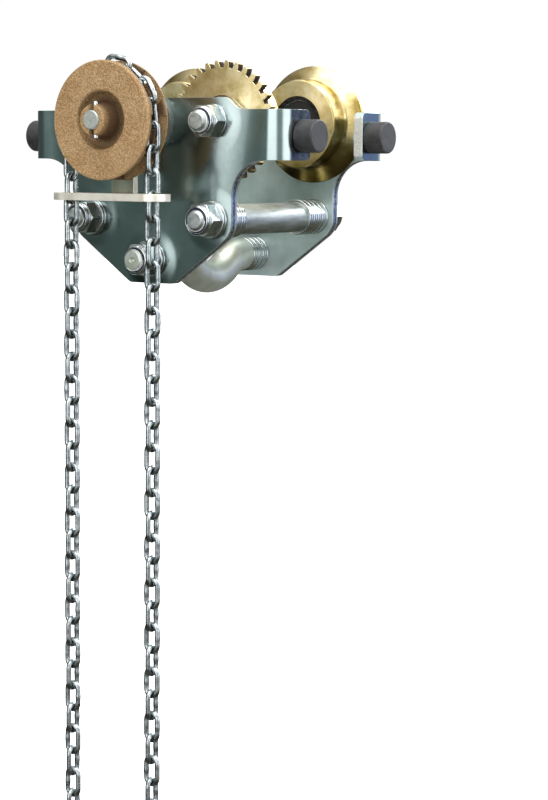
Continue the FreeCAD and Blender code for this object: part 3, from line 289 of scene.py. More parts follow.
zinc_edge = mottled("zinc_electroplate_on_sheared_edge", EDGE_GRAIN,
                    ((0.34, "#3A4158"), (0.5, "#747D90"), (0.66, "#C2C8CE")), (0.25, 0.42), 0.95)
pitted(zinc_edge, EDGE_GRAIN, 0.3, 0.3)
tree, shader, torn = opened(zinc_edge)
mottle = torn.node.inputs["Fac"].links[0].from_socket
# Painted highlight: the edge is painted lighter near both rims, where the bevels catch the light
rim_highlight = add(tree, "ShaderNodeValToRGB", {"Fac": mottle}, ((0.34, "#A3AFB4"), (0.62, "#DCE2E3")))
place = add(tree, "ShaderNodeTexCoord").outputs["Object"]
across = add(tree, "ShaderNodeSeparateXYZ", {"Vector": place}).outputs["Y"]
depth = add(tree, "ShaderNodeMath", {0: across}, operation="ABSOLUTE")
off_middle = add(tree, "ShaderNodeMath", {0: depth, 1: PLATE_MIDDLE}, operation="SUBTRACT")
near_rim = add(tree, "ShaderNodeMath", {0: off_middle}, operation="ABSOLUTE")
rim_highlight_share = add(tree, "ShaderNodeMapRange", {
    "Value": near_rim, "From Min": TORN_HALF, "From Max": RIM_HIGHLIGHT_FROM})
tone = add(tree, "ShaderNodeMix", {"Factor": rim_highlight_share, 6: torn, 7: rim_highlight}, data_type="RGBA")
plug(tree, shader, {"Base Color": tone})

# Painted light: the faces that look at the beam get a duller zinc with a lighter tone
zinc_inner_painted_light = mottled("dull_zinc_with_painted_light_on_inner_faces", (55, 5, 0.6),
                     ((0.3, "#92A3A1"), (0.55, "#B3C4C2"), (0.75, "#D0DFDF")), (0.46, 0.3), 0.66)
# Painted shade: the outer faces of the front ears get a dark zinc, the dark reflection of the buffers
zinc_ear_painted_shade = mottled("strained_zinc_on_bent_ears", (7, 5, 0.65),
                   ((0.35, "#434A4C"), (0.55, "#666D6F"), (0.72, "#8B9092")), (0.22, 0.4), 1.0)
print("edges, inner faces and ears made")

# %% [markdown]
# ## Zinc on bars, fasteners and chain
# The crossbars are drawn bars with a slightly pitted, streaked skin. The load bar was bent hot and plated
# afterwards, which left a faint olive cast. Threads are torn and dull under their plating. Nuts and washers
# are brighter, with a slight milky bloom. The chain was plated after welding, with small bright and dull
# patches. The guide has a warm satin plating. The strip behind the hand wheel gets a glossier, darker plate:
# its darker tone is painted shadow of the hand wheel, and its gloss mirrors the wheel's back.

# %% Bars, fasteners, chain and guide
BLOOM_GRAIN = (6, 5, 0.65)
zinc_bar = mottled("zinc_electroplate_on_drawn_bar", (5, 6, 0.7),
                   ((0.3, "#979F9D"), (0.5, "#BAC1BF"), (0.7, "#D8DCDB")), (0.38, 0.58), 1.0,
                   stretch=(1.0, 0.15, 1.0))
pitted(zinc_bar, (1.6, 4, 0.7), 0.5, 0.4)
zinc_bent = mottled("zinc_electroplate_on_bent_bar", (22, 4, 0.55),
                    ((0.3, "#BABEAC"), (0.55, "#D0D6CE"), (0.75, "#DEE3E0")), (0.34, 0.5), 0.9)
pitted(zinc_bent, (1.8, 4, 0.7), 0.4, 0.35)
zinc_thread = mottled("zinc_electroplate_on_threads", (1.5, 4, 0.7),
                      ((0.3, "#B4B9B6"), (0.7, "#F0F1ED")), (0.35, 0.55), 0.7)
zinc_bright = mottled("bright_zinc_on_fasteners", BLOOM_GRAIN,
                      ((0.3, "#B6BFC3"), (0.55, "#D4D9DA"), (0.75, "#E6E9E8")), (0.16, 0.3), 1.0)
pitted(zinc_bright, BLOOM_GRAIN, 0.1, 0.1)
zinc_chain = mottled("bright_zinc_on_welded_chain", (5, 4, 0.6),
                     ((0.3, "#7B8386"), (0.5, "#A6ADAF"), (0.72, "#D2D6D5")), (0.18, 0.36), 1.0)
satin_plate = mottled("satin_plated_steel", (14, 5, 0.6),
                      ((0.3, "#D6D0C0"), (0.55, "#E8E2D5"), (0.75, "#F1EDE4")), (0.32, 0.46), 0.75)
# Painted shadow: the strip behind the hand wheel is painted darker; its gloss mirrors the wheel's back
strip_painted_shadow = mottled("glossy_plate_with_painted_shadow", (14, 4, 0.5),
                       ((0.3, "#B4AD98"), (0.7, "#CFC9B8")), (0.18, 0.3), 1.0)
print("zinc and satin finishes made")

# %% [markdown]
# ## Turned bronze wheels
# The wheels are turned on a lathe, so their faces carry fine rings about the axle and their treads carry
# rings side by side. One value that grows with the distance from the axle and along it draws both. Fine
# rings also stretch every reflection across them, which an anisotropic shader shows if it is told that
# direction. The lower part of each wheel is painted darker and browner: painted shade.

# %% Turned bronze
axle_x = abs(joint_at["rear_right_wheel_spin"][0])
axle_z = joint_at["hand_wheel_spin"][2]
# How far below the axle the painted shade on the wheels starts and is full
SHADE_START_BELOW_AXLE = 14 * MM
SHADE_FULL_BELOW_AXLE = 48 * MM
RING_SLANT = 0.9


def low_shade_and_tool_marks(finish, stretch):
    """Painted shade in the lower part of the wheels, and reflections stretched across the tool marks."""
    tree, shader, tone = opened(finish)
    place = add(tree, "ShaderNodeTexCoord")
    axes = add(tree, "ShaderNodeSeparateXYZ", {"Vector": place.outputs["Object"]})
    # Painted shade: the bronze is painted darker and browner towards the bottom of each wheel
    low = add(tree, "ShaderNodeMapRange", {
        "Value": axes.outputs["Z"], "From Min": axle_z - SHADE_FULL_BELOW_AXLE, "From Max": axle_z - SHADE_START_BELOW_AXLE})
    bronze_low_shade = add(tree, "ShaderNodeValToRGB", {"Fac": low}, ((0.0, "#928B68"), (1.0, "#FFFFFF")))
    bronze_shaded_tone = add(tree, "ShaderNodeMix", {"Factor": 1.0, 6: tone, 7: bronze_low_shade}, data_type="RGBA",
                blend_type="MULTIPLY")
    # Across the marks is outwards on a wheel's face and lengthwise on its tread
    side = add(tree, "ShaderNodeMath", {0: axes.outputs["X"]}, operation="SIGN")
    off_axle = add(tree, "ShaderNodeMath", {0: side, 1: -axle_x, 2: axes.outputs["X"]},
                   operation="MULTIPLY_ADD")
    above = add(tree, "ShaderNodeMath", {0: axes.outputs["Z"], 1: axle_z}, operation="SUBTRACT")
    spoke = add(tree, "ShaderNodeCombineXYZ", {"X": off_axle, "Z": above})
    around = add(tree, "ShaderNodeVectorMath", {0: spoke, 1: (0, 1, 0)}, operation="CROSS_PRODUCT")
    across = add(tree, "ShaderNodeVectorMath", {0: around, 1: place.outputs["Normal"]},
                 operation="CROSS_PRODUCT")
    unit = add(tree, "ShaderNodeVectorMath", {0: across}, operation="NORMALIZE")
    turned = add(tree, "ShaderNodeVectorTransform", {"Vector": unit}, vector_type="VECTOR",
                 convert_from="OBJECT", convert_to="WORLD")
    plug(tree, shader, {"Base Color": bronze_shaded_tone, "Tangent": turned, "Anisotropic": stretch})
    return spoke, axes.outputs["Y"]


turned_bronze = mottled("turned_bronze", (18, 4, 0.5),
                        ((0.32, "#9C8648"), (0.52, "#CFBD87"), (0.7, "#EADDB4")), 0.24, 1.0)
spoke, along = low_shade_and_tool_marks(turned_bronze, 0.6)
tree, shader, tone = opened(turned_bronze)
reach = add(tree, "ShaderNodeVectorMath", {0: spoke}, operation="LENGTH")
feed = add(tree, "ShaderNodeMath", {0: along, 1: RING_SLANT, 2: reach}, operation="MULTIPLY_ADD")
# Real tool marks are about 0.2 mm apart; drawn coarser so that they show at this distance
rings = add(tree, "ShaderNodeTexNoise", {"W": feed, "Scale": per_mm(0.7), "Detail": 2},
            noise_dimensions="1D")
dull = add(tree, "ShaderNodeMapRange", {"Value": rings, "To Min": 0.18, "To Max": 0.3})
marks = add(tree, "ShaderNodeBump", {"Height": rings, "Strength": 0.25, "Distance": 0.1 * MM})
plug(tree, shader, {"Roughness": dull, "Normal": marks})

# The flat faces were only faced off, so they scatter the light more
faced_bronze = mottled("faced_bronze", (14, 5, 0.6),
                       ((0.32, "#C9B478"), (0.52, "#EBD8A4"), (0.72, "#F9ECC8")), (0.32, 0.44), 0.9)
low_shade_and_tool_marks(faced_bronze, 0.8)
# Painted shade: the milled gaps between the teeth are painted dark brown, where the teeth shade each
# other, and hardly shine
tooth_gap_painted_shade = mottled("dark_bronze_with_painted_shade_in_tooth_gaps", (4, 4, 0.6), ((0.3, "#120C04"), (0.7, "#3A2A12")), 0.8)
tree, shader, tone = opened(tooth_gap_painted_shade)
plug(tree, shader, {"Specular IOR Level": 0.25})
bush_bronze = mottled("sintered_bronze", (0.8, 2, 0.5), ((0.35, "#7A6238"), (0.6, "#A68A54")), 0.5, 1.0)
print("turned bronze finishes made")

# %% [markdown]
# ## Sand-cast hand wheel
# The hand wheel is bronze cast in sand and left as cast: a grainy matte skin with a slow unevenness of the
# mould. Down in the recess about the hub, and in the groove where the chain runs, it is painted dark brown:
# painted shade where the light is blocked, with some patina. Both are found by their distance from the axle
# and along it.

# %% Sand-cast bronze
HUB_FRONT = 13 * MM
RECESS_RADIUS = 28 * MM
GROOVE_MIDDLE = 16.4 * MM
GROOVE_HALF = 13.4 * MM
GROOVE_BOTTOM, GROOVE_CLEAN = 53 * MM, 60 * MM
# How dark the painted shade and patina get
PATINA_AND_SHADE = 0.85
wheel_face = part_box("hand_chain_wheel")[0][1] + HUB_FRONT
SAND_GRAIN = (1.5, 3, 0.55)

cast_bronze = mottled("sand_cast_bronze", SAND_GRAIN,
                      ((0.25, "#785F3D"), (0.5, "#9F835D"), (0.75, "#BFA37B")), 0.55, 0.4)
pitted(cast_bronze, SAND_GRAIN, 1.0, 1.6)
tree, shader, tone = opened(cast_bronze)
place = add(tree, "ShaderNodeTexCoord").outputs["Object"]
mould = add(tree, "ShaderNodeTexNoise", {"Vector": place, "Scale": per_mm(25), "Detail": 3})
drift = add(tree, "ShaderNodeValToRGB", {"Fac": mould}, ((0.3, "#EFE4D6"), (0.7, "#FFFFFF")))
clean = add(tree, "ShaderNodeMix", {"Factor": 1.0, 6: tone, 7: drift}, data_type="RGBA",
            blend_type="MULTIPLY")
axes = add(tree, "ShaderNodeSeparateXYZ", {"Vector": place})
above = add(tree, "ShaderNodeMath", {0: axes.outputs["Z"], 1: axle_z}, operation="SUBTRACT")
spoke = add(tree, "ShaderNodeCombineXYZ", {"X": axes.outputs["X"], "Z": above})
reach = add(tree, "ShaderNodeVectorMath", {0: spoke}, operation="LENGTH")
# Painted shade with some patina: the floor of the recess about the hub is darkened
sunk = add(tree, "ShaderNodeMapRange", {
    "Value": axes.outputs["Y"], "From Min": wheel_face - HUB_FRONT * 0.95,
    "From Max": wheel_face - HUB_FRONT * 0.3, "To Max": PATINA_AND_SHADE})
inside = add(tree, "ShaderNodeMapRange", {
    "Value": reach, "From Min": RECESS_RADIUS * 0.66, "From Max": RECESS_RADIUS, "To Min": 1.0,
    "To Max": 0.0})
dark = add(tree, "ShaderNodeMath", {0: sunk, 1: inside}, operation="MULTIPLY")
# Painted shadow with some patina: the groove between the rims is darkened towards its bottom
deep = add(tree, "ShaderNodeMapRange", {
    "Value": reach, "From Min": GROOVE_BOTTOM, "From Max": GROOVE_CLEAN, "To Min": PATINA_AND_SHADE, "To Max": 0.0})
between_rims = add(tree, "ShaderNodeMath", {
    0: axes.outputs["Y"], 1: wheel_face + GROOVE_MIDDLE, 2: GROOVE_HALF}, operation="COMPARE")
outside = add(tree, "ShaderNodeMath", {0: reach, 1: RECESS_RADIUS}, operation="GREATER_THAN")
grooved = add(tree, "ShaderNodeMath", {0: deep, 1: between_rims}, operation="MULTIPLY")
groove_shade = add(tree, "ShaderNodeMath", {0: grooved, 1: outside}, operation="MULTIPLY")
worst = add(tree, "ShaderNodeMath", {0: dark, 1: groove_shade}, operation="MAXIMUM")
patina_and_shade_tone = add(tree, "ShaderNodeMix", {"Factor": worst, 6: clean, 7: linear("#3E2915")}, data_type="RGBA")
plug(tree, shader, {"Base Color": patina_and_shade_tone})
print("cast bronze made with", len(tree.nodes), "nodes")

# %% [markdown]
# ## Rubber, nylon and bearing steel
# The buffers are moulded rubber, dull with a fine bloom, and a lighter grey on their end faces. The ring in
# each lock nut is dark nylon. The bearing rings and balls are ground steel, the shaft's end is sawn, its
# housing is phosphated, and the circlips are blackened spring steel.

# %% Dark and ground finishes
rubber = mottled("moulded_black_rubber", (7, 6, 0.7), ((0.3, "#19191A"), (0.7, "#2E2E30")), (0.42, 0.58))
pitted(rubber, (0.9, 2, 0.5), 0.2, 0.1)
tree, shader, sides = opened(rubber)
bloom = sides.node.inputs["Fac"].links[0].from_socket
end_grey = add(tree, "ShaderNodeValToRGB", {"Fac": bloom}, ((0.3, "#27282A"), (0.7, "#3A3B3C")))
facing = add(tree, "ShaderNodeTexCoord").outputs["Normal"]
sideways = add(tree, "ShaderNodeSeparateXYZ", {"Vector": facing}).outputs["X"]
endwise = add(tree, "ShaderNodeMath", {0: sideways}, operation="ABSOLUTE")
on_end_faces = add(tree, "ShaderNodeMapRange", {"Value": endwise, "From Min": 0.8, "From Max": 0.98})
tone = add(tree, "ShaderNodeMix", {"Factor": on_end_faces, 6: sides, 7: end_grey}, data_type="RGBA")
plug(tree, shader, {"Base Color": tone})

seal_rubber = mottled("moulded_seal_rubber", (1.2, 3, 0.5), ((0.3, "#0B0B0B"), (0.7, "#181818")), 0.55)
nylon = mottled("dyed_nylon", (2, 3, 0.5), ((0.3, "#15122A"), (0.7, "#262044")), 0.42)
ground_steel = mottled("ground_steel", (8, 4, 0.5), ((0.3, "#B4B8BA"), (0.7, "#CED1D2")), (0.14, 0.26), 1.0)
sawn_steel = mottled("sawn_shaft_steel", (3, 4, 0.6), ((0.3, "#8C928C"), (0.7, "#ABB0AA")), (0.4, 0.55), 0.6)
phosphate = mottled("phosphated_steel", (3, 4, 0.6), ((0.3, "#6A726F"), (0.7, "#868D89")), (0.4, 0.55), 0.7)
spring_steel = mottled("blackened_spring_steel", (5, 4, 0.5), ((0.3, "#2A2B2D"), (0.7, "#4A4B4E")), 0.42, 1.0)
print("dark and ground finishes made")

# %% [markdown]
# ## Which finish a face gets
# One solid often carries more than one finish: a plate has rolled faces and cut edges, a geared wheel has
# turned faces and tooth gaps painted dark with shade. The faces are told apart by where they lie and which
# way they look, with a few sizes that are known from the CAD model. Each rule gives the number of a finish
# in the piece's list.

# %% Tell the faces of a piece apart
EAR_INSIDE = 142 * MM
EAR_END = 49 * MM
EAR_BELOW = 8 * MM
GAP_BOTTOM = 51.5 * MM
GAP_TOP = 58 * MM
SHELF_THICK = 12 * MM
# Shares of a face's normal that tell rolled, cut, squarely bent and level faces apart
ROLLED, CUT, SQUARE, LEVEL = 0.3, 0.2, 0.1, 0.95


def plate_face(face, name):
    """0 for an outer rolled face, 1 for a cut edge, 2 for a face that looks at the beam, 3 for an ear's end,
    4 for the outside of a front ear."""
    in_front = name.startswith("front")
    flat, rise, middle = abs(face.normal.y), abs(face.normal.z), face.center
    if flat < ROLLED and (rise > CUT or middle.z < EAR_BELOW):
        return 1
    if flat > ROLLED and abs(middle.x) > EAR_INSIDE and abs(middle.y) < EAR_END:
        return 3
    if in_front and flat < SQUARE and face.normal.x * middle.x > EAR_INSIDE:
        return 4
    to_beam = face.normal.y if in_front else -face.normal.y
    return 2 if to_beam > ROLLED or face.normal.x * middle.x < 0 else 0


def strip_face(face, name):
    """1 for the front of the guide's strip, 0 for the shelf, which is its lowest part, and the rest."""
    shelf_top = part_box(name)[0][2] + SHELF_THICK
    return int(face.normal.y < -0.5 and face.center.z > shelf_top)


def tooth_face(face, name):
    """1 for the flanks and bottoms of the tooth gaps, 2 for a flat face, 0 for the rest of a wheel."""
    reach = math.hypot(abs(face.center.x) - axle_x, face.center.z - axle_z)
    if name.startswith("front") and GAP_BOTTOM < reach < GAP_TOP and abs(face.normal.y) < 0.5:
        return 1
    return 2 if abs(face.normal.y) > LEVEL else 0


split_finishes = {
    satin_plate.name: ((strip_painted_shadow,), strip_face),
    zinc_plate.name: ((zinc_edge, zinc_inner_painted_light, zinc_thread, zinc_ear_painted_shade), plate_face),
    turned_bronze.name: ((tooth_gap_painted_shade, faced_bronze), tooth_face)}
print(len(split_finishes), "finishes are split by face")

# %% [markdown]
# ## Rounded copies of the CAD pieces
# Real edges are never sharp: a sheared plate, a turned bar and a casting each have their own small radius,
# and that radius catches the light. A CAD node's mesh may not be changed, so each piece is a copy whose
# loose triangles are merged into clean faces and bevelled. The copy then stands for the node.

# %% A rounded copy
bodies = frame["record"]["behaviour"]["bodies"]
body_of = {name: body for body, names in bodies.items() for name in names}
MERGE = 0.002 * MM
FLAT = math.radians(0.7)
SHARP = math.radians(32)


def stand_for(piece, *names):
    """The piece takes the place of CAD nodes of one body."""
    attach(piece, body_of[names[0]])
    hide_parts(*names)


def rounded_copy(name, edge, finish):
    """A bevelled copy of a CAD node; edge is the radius in millimetres."""
    mesh = frame["nodes"][name].data.copy()
    shape = bmesh.new()
    shape.from_mesh(mesh)
    bmesh.ops.remove_doubles(shape, verts=shape.verts, dist=MERGE)
    bmesh.ops.dissolve_limit(shape, angle_limit=FLAT, verts=shape.verts, edges=shape.edges)
    shape.to_mesh(mesh)
    shape.free()
    mesh.materials.clear()
    mesh.materials.append(finish)
    mesh.polygons.foreach_set("use_smooth", [True] * len(mesh.polygons))
    mesh.set_sharp_from_angle(angle=SHARP)
    if finish.name in split_finishes:
        others, pick = split_finishes[finish.name]
        for other in others:
            mesh.materials.append(other)
        for face in mesh.polygons:
            face.material_index = pick(face, name)
    piece = bpy.data.objects.new(name + "_finished", mesh)
    scene.collection.objects.link(piece)
    bevel = piece.modifiers.new("edges", "BEVEL")
    bevel.width = edge * MM
    bevel.segments = 2
    bevel.limit_method = "ANGLE"
    bevel.angle_limit = SHARP
    bevel.miter_outer = "MITER_ARC"
    even = piece.modifiers.new("even_shading", "WEIGHTED_NORMAL")
    even.keep_sharp = True
    stand_for(piece, name)


# %% [markdown]
# Each piece gets its edge radius in millimetres and its finish. What a wheel has, each of the four corners
# has, so those rows are made in a loop. The bearing balls are already round, so they only get a new finish.

# %% Dress the CAD pieces
CORNERS = ("front_left", "front_right", "rear_left", "rear_right")
dressing = {
    "front_side_plate": (1.0, zinc_plate), "rear_side_plate": (1.0, zinc_plate),
    "left_crossbar": (0.6, zinc_bar), "right_crossbar": (0.6, zinc_bar), "load_bar": (0.6, zinc_bent),
    "plate_lock_nuts": (0.5, zinc_bright), "load_bar_lock_nuts": (0.5, zinc_bright),
    "axle_spacers": (0.4, zinc_bright), "thrust_washer": (0.3, zinc_bright),
    "buffer_studs": (0.2, zinc_bright), "buffer_nuts": (0.3, zinc_bright),
    "housing_screws": (0.2, zinc_bright), "guide_screws": (0.2, zinc_bright),
    "plate_lock_nut_inserts": (0.4, nylon), "load_bar_nut_inserts": (0.4, nylon),
    "hand_chain_wheel": (1.2, cast_bronze), "drive_shaft": (0.5, sawn_steel),
    "drive_pinion": (0.3, ground_steel), "pinion_key": (0.2, ground_steel),
    "hand_wheel_pin": (0.5, zinc_bright), "shaft_circlip": (0.2, spring_steel),
    "shaft_housing": (0.6, phosphate), "shaft_bushes": (0.3, bush_bronze),
    "chain_guide": (0.6, satin_plate), "bearing_inner_rings": (0.4, ground_steel)}
for corner in CORNERS:
    dressing[corner + "_wheel"] = (0.5, turned_bronze)
    dressing[corner + "_axle"] = (0.4, zinc_bar)
    dressing[corner + "_buffer"] = (1.0, rubber)
    dressing[corner + "_wheel_bearing_outer_rings"] = (0.4, ground_steel)
    dressing[corner + "_wheel_bearing_seals"] = (0.2, seal_rubber)
    dressing[corner + "_wheel_circlip"] = (0.2, spring_steel)
for name, (edge, finish) in dressing.items():
    rounded_copy(name, edge, finish)
for corner in CORNERS:
    balls = frame["nodes"][corner + "_wheel_bearing_balls"]
    balls.data.materials.clear()
    balls.data.materials.append(ground_steel)
print(len(dressing), "pieces dressed")

# %% [markdown]
# ## Geometry Nodes for what repeats
# Chain links, threads and washers are one shape set down many times. Each gets a tree whose inputs are its
# sizes. The three trees begin and end alike: they take a cloud of places, put the shape on each with its
# own turn, make the copies real and coat them. The result is kept as a plain mesh, because an export drops
# live copies.


# %% Trees that set one shape on many places
def start_tree(name, sizes, result):
    """A tree with places, named sizes and a finish as inputs; gives the tree and its inputs."""
    tree = bpy.data.node_groups.new(name, "GeometryNodeTree")
    kinds = {"Places": "NodeSocketGeometry", **dict.fromkeys(sizes, "NodeSocketFloat"),
             "Finish": "NodeSocketMaterial"}
    for title, kind in kinds.items():
        tree.interface.new_socket(title, in_out="INPUT", socket_type=kind)
    tree.interface.new_socket(result, in_out="OUTPUT", socket_type="NodeSocketGeometry")
    return tree, add(tree, "NodeGroupInput").outputs


def end_tree(tree, given, shape, stretch=None):
    """Set the shape on every place, make the copies real, smooth and coat them."""
    turn = add(tree, "GeometryNodeInputNamedAttribute", {"Name": "turn"}, data_type="QUATERNION")
    spots = {"Points": given["Places"], "Instance": shape, "Rotation": turn}
    if stretch:
        spots["Scale"] = stretch
    copies = add(tree, "GeometryNodeInstanceOnPoints", spots)
    real = add(tree, "GeometryNodeRealizeInstances", {0: copies})
    smooth = add(tree, "GeometryNodeSetShadeSmooth", {0: real})
    coated = add(tree, "GeometryNodeSetMaterial", {"Geometry": smooth, "Material": given["Finish"]})
    add(tree, "NodeGroupOutput", {0: coated})


def grown(name, points, turns, tree, settings, spreads=()):
    """Points with turns and spreads, run through a tree and made into a plain mesh object."""
    cloud = bpy.data.meshes.new(name + "_points")
    cloud.from_pydata([tuple(point) for point in points], [], [])
    stored = cloud.attributes.new("turn", "QUATERNION", "POINT")
    stored.data.foreach_set("value", [number for turn in turns for number in turn])
    if spreads:
        cloud.attributes.new("spread", "FLOAT_VECTOR", "POINT").data.foreach_set(
            "vector", [number for spread in spreads for number in (spread, spread, 1.0)])
    holder = bpy.data.objects.new(name + "_points", cloud)
    scene.collection.objects.link(holder)
    grow = holder.modifiers.new("grow", "NODES")
    grow.node_group = tree
    sockets = {item.name: item.identifier for item in tree.interface.items_tree if item.in_out == "INPUT"}
    for title, value in settings.items():
        grow[sockets[title]] = value
    seen = holder.evaluated_get(bpy.context.evaluated_depsgraph_get())
    mesh = bpy.data.meshes.new_from_object(seen)
    bpy.data.objects.remove(holder)
    mesh.name = name
    piece = bpy.data.objects.new(name, mesh)
    scene.collection.objects.link(piece)
    return piece


print("tree helpers ready")

# %% [markdown]
# ## The hand chain
# The chain is a loop of equal welded links that stand flat and upright in turn. The CAD model already has
# every link in its place, so the places are read from it: each loose part of the chain's nodes gives one
# link's centre and its two directions.

# %% Read the links' places from the CAD
CHAIN_NODES = ("hand_chain_right_fall", "hand_chain_bottom_loop", "hand_chain_left_fall",
               "hand_chain_wheel_wrap")
CHAIN_WIRE = 5 * MM
CHAIN_WIDTH = 18 * MM
CHAIN_PITCH = 21.8 * MM


def loose_parts(mesh):
    """The separate shells of a mesh, each as a list of points."""
    shape = bmesh.new()
    shape.from_mesh(mesh)
    bmesh.ops.remove_doubles(shape, verts=shape.verts, dist=MERGE)
    waiting = set(shape.verts)
    parts = []
    while waiting:
        front = [waiting.pop()]
        part = []
        while front:
            vertex = front.pop()
            part.append(vertex.co.copy())
            near = [edge.other_vert(vertex) for edge in vertex.link_edges]
            fresh = [other for other in near if other in waiting]
            waiting.difference_update(fresh)
            front.extend(fresh)
        parts.append(part)
    shape.free()
    return parts


def link_place(part):
    """Centre, long direction and whether the link stands upright in the wheel's plane."""
    low = Vector([min(point[axis] for point in part) for axis in range(3)])
    high = Vector([max(point[axis] for point in part) for axis in range(3)])
    centre = (low + high) / 2
    upright = high.y - low.y < (CHAIN_WIRE + CHAIN_WIDTH) / 2
    # The long direction lies in the wheel's plane, where the points spread most
    spread = [[sum((p[a] - centre[a]) * (p[b] - centre[b]) for p in part) for b in (0, 2)] for a in (0, 2)]
    tilt = 0.5 * math.atan2(2 * spread[0][1], spread[0][0] - spread[1][1])
    return centre, Vector((math.cos(tilt), 0, math.sin(tilt))), upright


places = {name: [link_place(part) for part in loose_parts(frame["nodes"][name].data)]
          for name in CHAIN_NODES}
places["hand_chain_right_fall"].sort(key=lambda link: -link[0].z)
places["hand_chain_bottom_loop"].sort(key=lambda link: -link[0].x)
places["hand_chain_left_fall"].sort(key=lambda link: link[0].z)
places["hand_chain_wheel_wrap"].sort(key=lambda link: link[0].x)
links = [link for name in CHAIN_NODES for link in places[name]]
print(len(links), "links found")

# %% [markdown]
# A link is a bent round wire with a slight swelling where its ends were welded together. The tree rounds
# the corners of an oblong to get the wire's line, sweeps a circle along it, and thickens it near the weld.

# %% Bend one link and set it on every place
BEND_STEPS = 9
LINK_STEPS = 44
WIRE_SIDES = 14
WELD_SWELL = 1.1
chain_tree, given = start_tree("welded_chain", ("Wire", "Width", "Pitch", "Weld"), "Chain")
wire_line = add(chain_tree, "ShaderNodeMath", {0: given["Width"], 1: given["Wire"]}, operation="SUBTRACT")
long_line = add(chain_tree, "ShaderNodeMath", {0: given["Pitch"], 1: given["Wire"]}, operation="ADD")
bend = add(chain_tree, "ShaderNodeMath", {0: wire_line, 1: 0.5}, operation="MULTIPLY")
oblong = add(chain_tree, "GeometryNodeCurvePrimitiveQuadrilateral", {"Width": long_line, "Height": wire_line})
bent = add(chain_tree, "GeometryNodeFilletCurve", {
    0: oblong, "Count": BEND_STEPS, "Radius": bend}, mode="POLY")
line = add(chain_tree, "GeometryNodeResampleCurve", {"Curve": bent, "Count": LINK_STEPS})
# The weld sits in the middle of one leg: the wire swells there over about its own width
spot = add(chain_tree, "GeometryNodeInputPosition")
half_line = add(chain_tree, "ShaderNodeCombineXYZ", {"Y": bend})
off_weld = add(chain_tree, "ShaderNodeVectorMath", {0: spot, 1: half_line}, operation="DISTANCE")
swell = add(chain_tree, "ShaderNodeMapRange", {
    "Value": off_weld, "From Min": 0.0, "From Max": given["Wire"], "To Min": given["Weld"],
    "To Max": 1.0}, interpolation_type="SMOOTHSTEP")
thick = add(chain_tree, "GeometryNodeSetCurveRadius", {"Curve": line, "Radius": swell})
half_wire = add(chain_tree, "ShaderNodeMath", {0: given["Wire"], 1: 0.5}, operation="MULTIPLY")
round_wire = add(chain_tree, "GeometryNodeCurvePrimitiveCircle", {
    "Resolution": WIRE_SIDES, "Radius": half_wire})
link_mesh = add(chain_tree, "GeometryNodeCurveToMesh", {
    "Curve": thick, "Profile Curve": round_wire, "Scale": swell})
end_tree(chain_tree, given, link_mesh)


def frame_turn(along, across):
    """The turn that brings X to the first direction and Y to the second."""
    return Matrix((along, across, along.cross(across))).transposed().to_quaternion()


beam_wise = Vector((0, 1, 0))
turns = [frame_turn(along, along.cross(beam_wise) if upright else beam_wise) for _, along, upright in links]
chain_line = [link[0] for link in links]
chain = grown("hand_chain", chain_line, turns, chain_tree, {
    "Wire": CHAIN_WIRE, "Width": CHAIN_WIDTH, "Pitch": CHAIN_PITCH, "Weld": WELD_SWELL, "Finish": zinc_chain})
stand_for(chain, *CHAIN_NODES)

# %% [markdown]
# ## Screw threads
# The ends of the axles, crossbars and load bar stand out of their nuts, and there the thread shows. A
# thread is a ridge wound round the bar, so the tree winds a spiral line and gives it a small section with
# six sides.

# %% Wind one thread
TURN_STEPS = 40
RIDGE_SIDES = 6
thread_tree, given = start_tree("wound_thread", ("Diameter", "Lead", "Turns", "Ridge"), "Threads")
radius = add(thread_tree, "ShaderNodeMath", {0: given["Diameter"], 1: 0.5}, operation="MULTIPLY")
height = add(thread_tree, "ShaderNodeMath", {0: given["Lead"], 1: given["Turns"]}, operation="MULTIPLY")
spiral = add(thread_tree, "GeometryNodeCurveSpiral", {
    "Resolution": TURN_STEPS, "Rotations": given["Turns"], "Start Radius": radius, "End Radius": radius,
    "Height": height})
ridge = add(thread_tree, "GeometryNodeCurvePrimitiveCircle", {
    "Resolution": RIDGE_SIDES, "Radius": given["Ridge"]})
wound = add(thread_tree, "GeometryNodeCurveToMesh", {
    "Curve": spiral, "Profile Curve": ridge, "Fill Caps": True})
end_tree(thread_tree, given, wound)
print("thread tree:", len(thread_tree.nodes), "nodes")

# %% [markdown]
# How much of a thread shows is measured from the outer face of its nut to the bar's tip, less the chamfer
# there. The bars of one kind share a length, so that one tree makes them all.

# %% Put a thread on every bar end
THREAD_DIA = 20 * MM
THREAD_LEAD = 2.5 * MM
RIDGE_SHARE = 0.28
BAR_CHAMFER = 2.4 * MM
LOAD_BAR_CHAMFER = 1.0 * MM
to_front = Vector((0, 0, 1)).rotation_difference(Vector((0, -1, 0)))
to_rear = Vector((0, 0, 1)).rotation_difference(Vector((0, 1, 0)))
nut_shells = [part for name in ("plate_lock_nuts", "load_bar_lock_nuts")
              for part in loose_parts(frame["nodes"][name].data)]


def nut_face(axis, side):
    """How far out the nut about an axis reaches on one side of the trolley."""
    for shell in nut_shells:
        middle = sum(shell, Vector()) / len(shell)
        if middle.y * side > 0 and math.hypot(middle.x - axis[0], middle.z - axis[1]) < THREAD_DIA / 4:
            return max(point.y * side for point in shell) * side
    return None


def threaded_ends(axes, chamfer, bars):
    """Where each thread starts on the outside of its nut, its turn, and how long it shows."""
    starts = []
    for axis, bar in zip(axes, bars):
        near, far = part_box(bar)
        for tip, side, turn in ((near[1], -1, to_front), (far[1], 1, to_rear)):
            face = nut_face(axis, side)
            if face is not None and abs(tip) > abs(face):
                starts.append((Vector((axis[0], face, axis[1])), turn, abs(tip) - abs(face) - chamfer))
    return starts


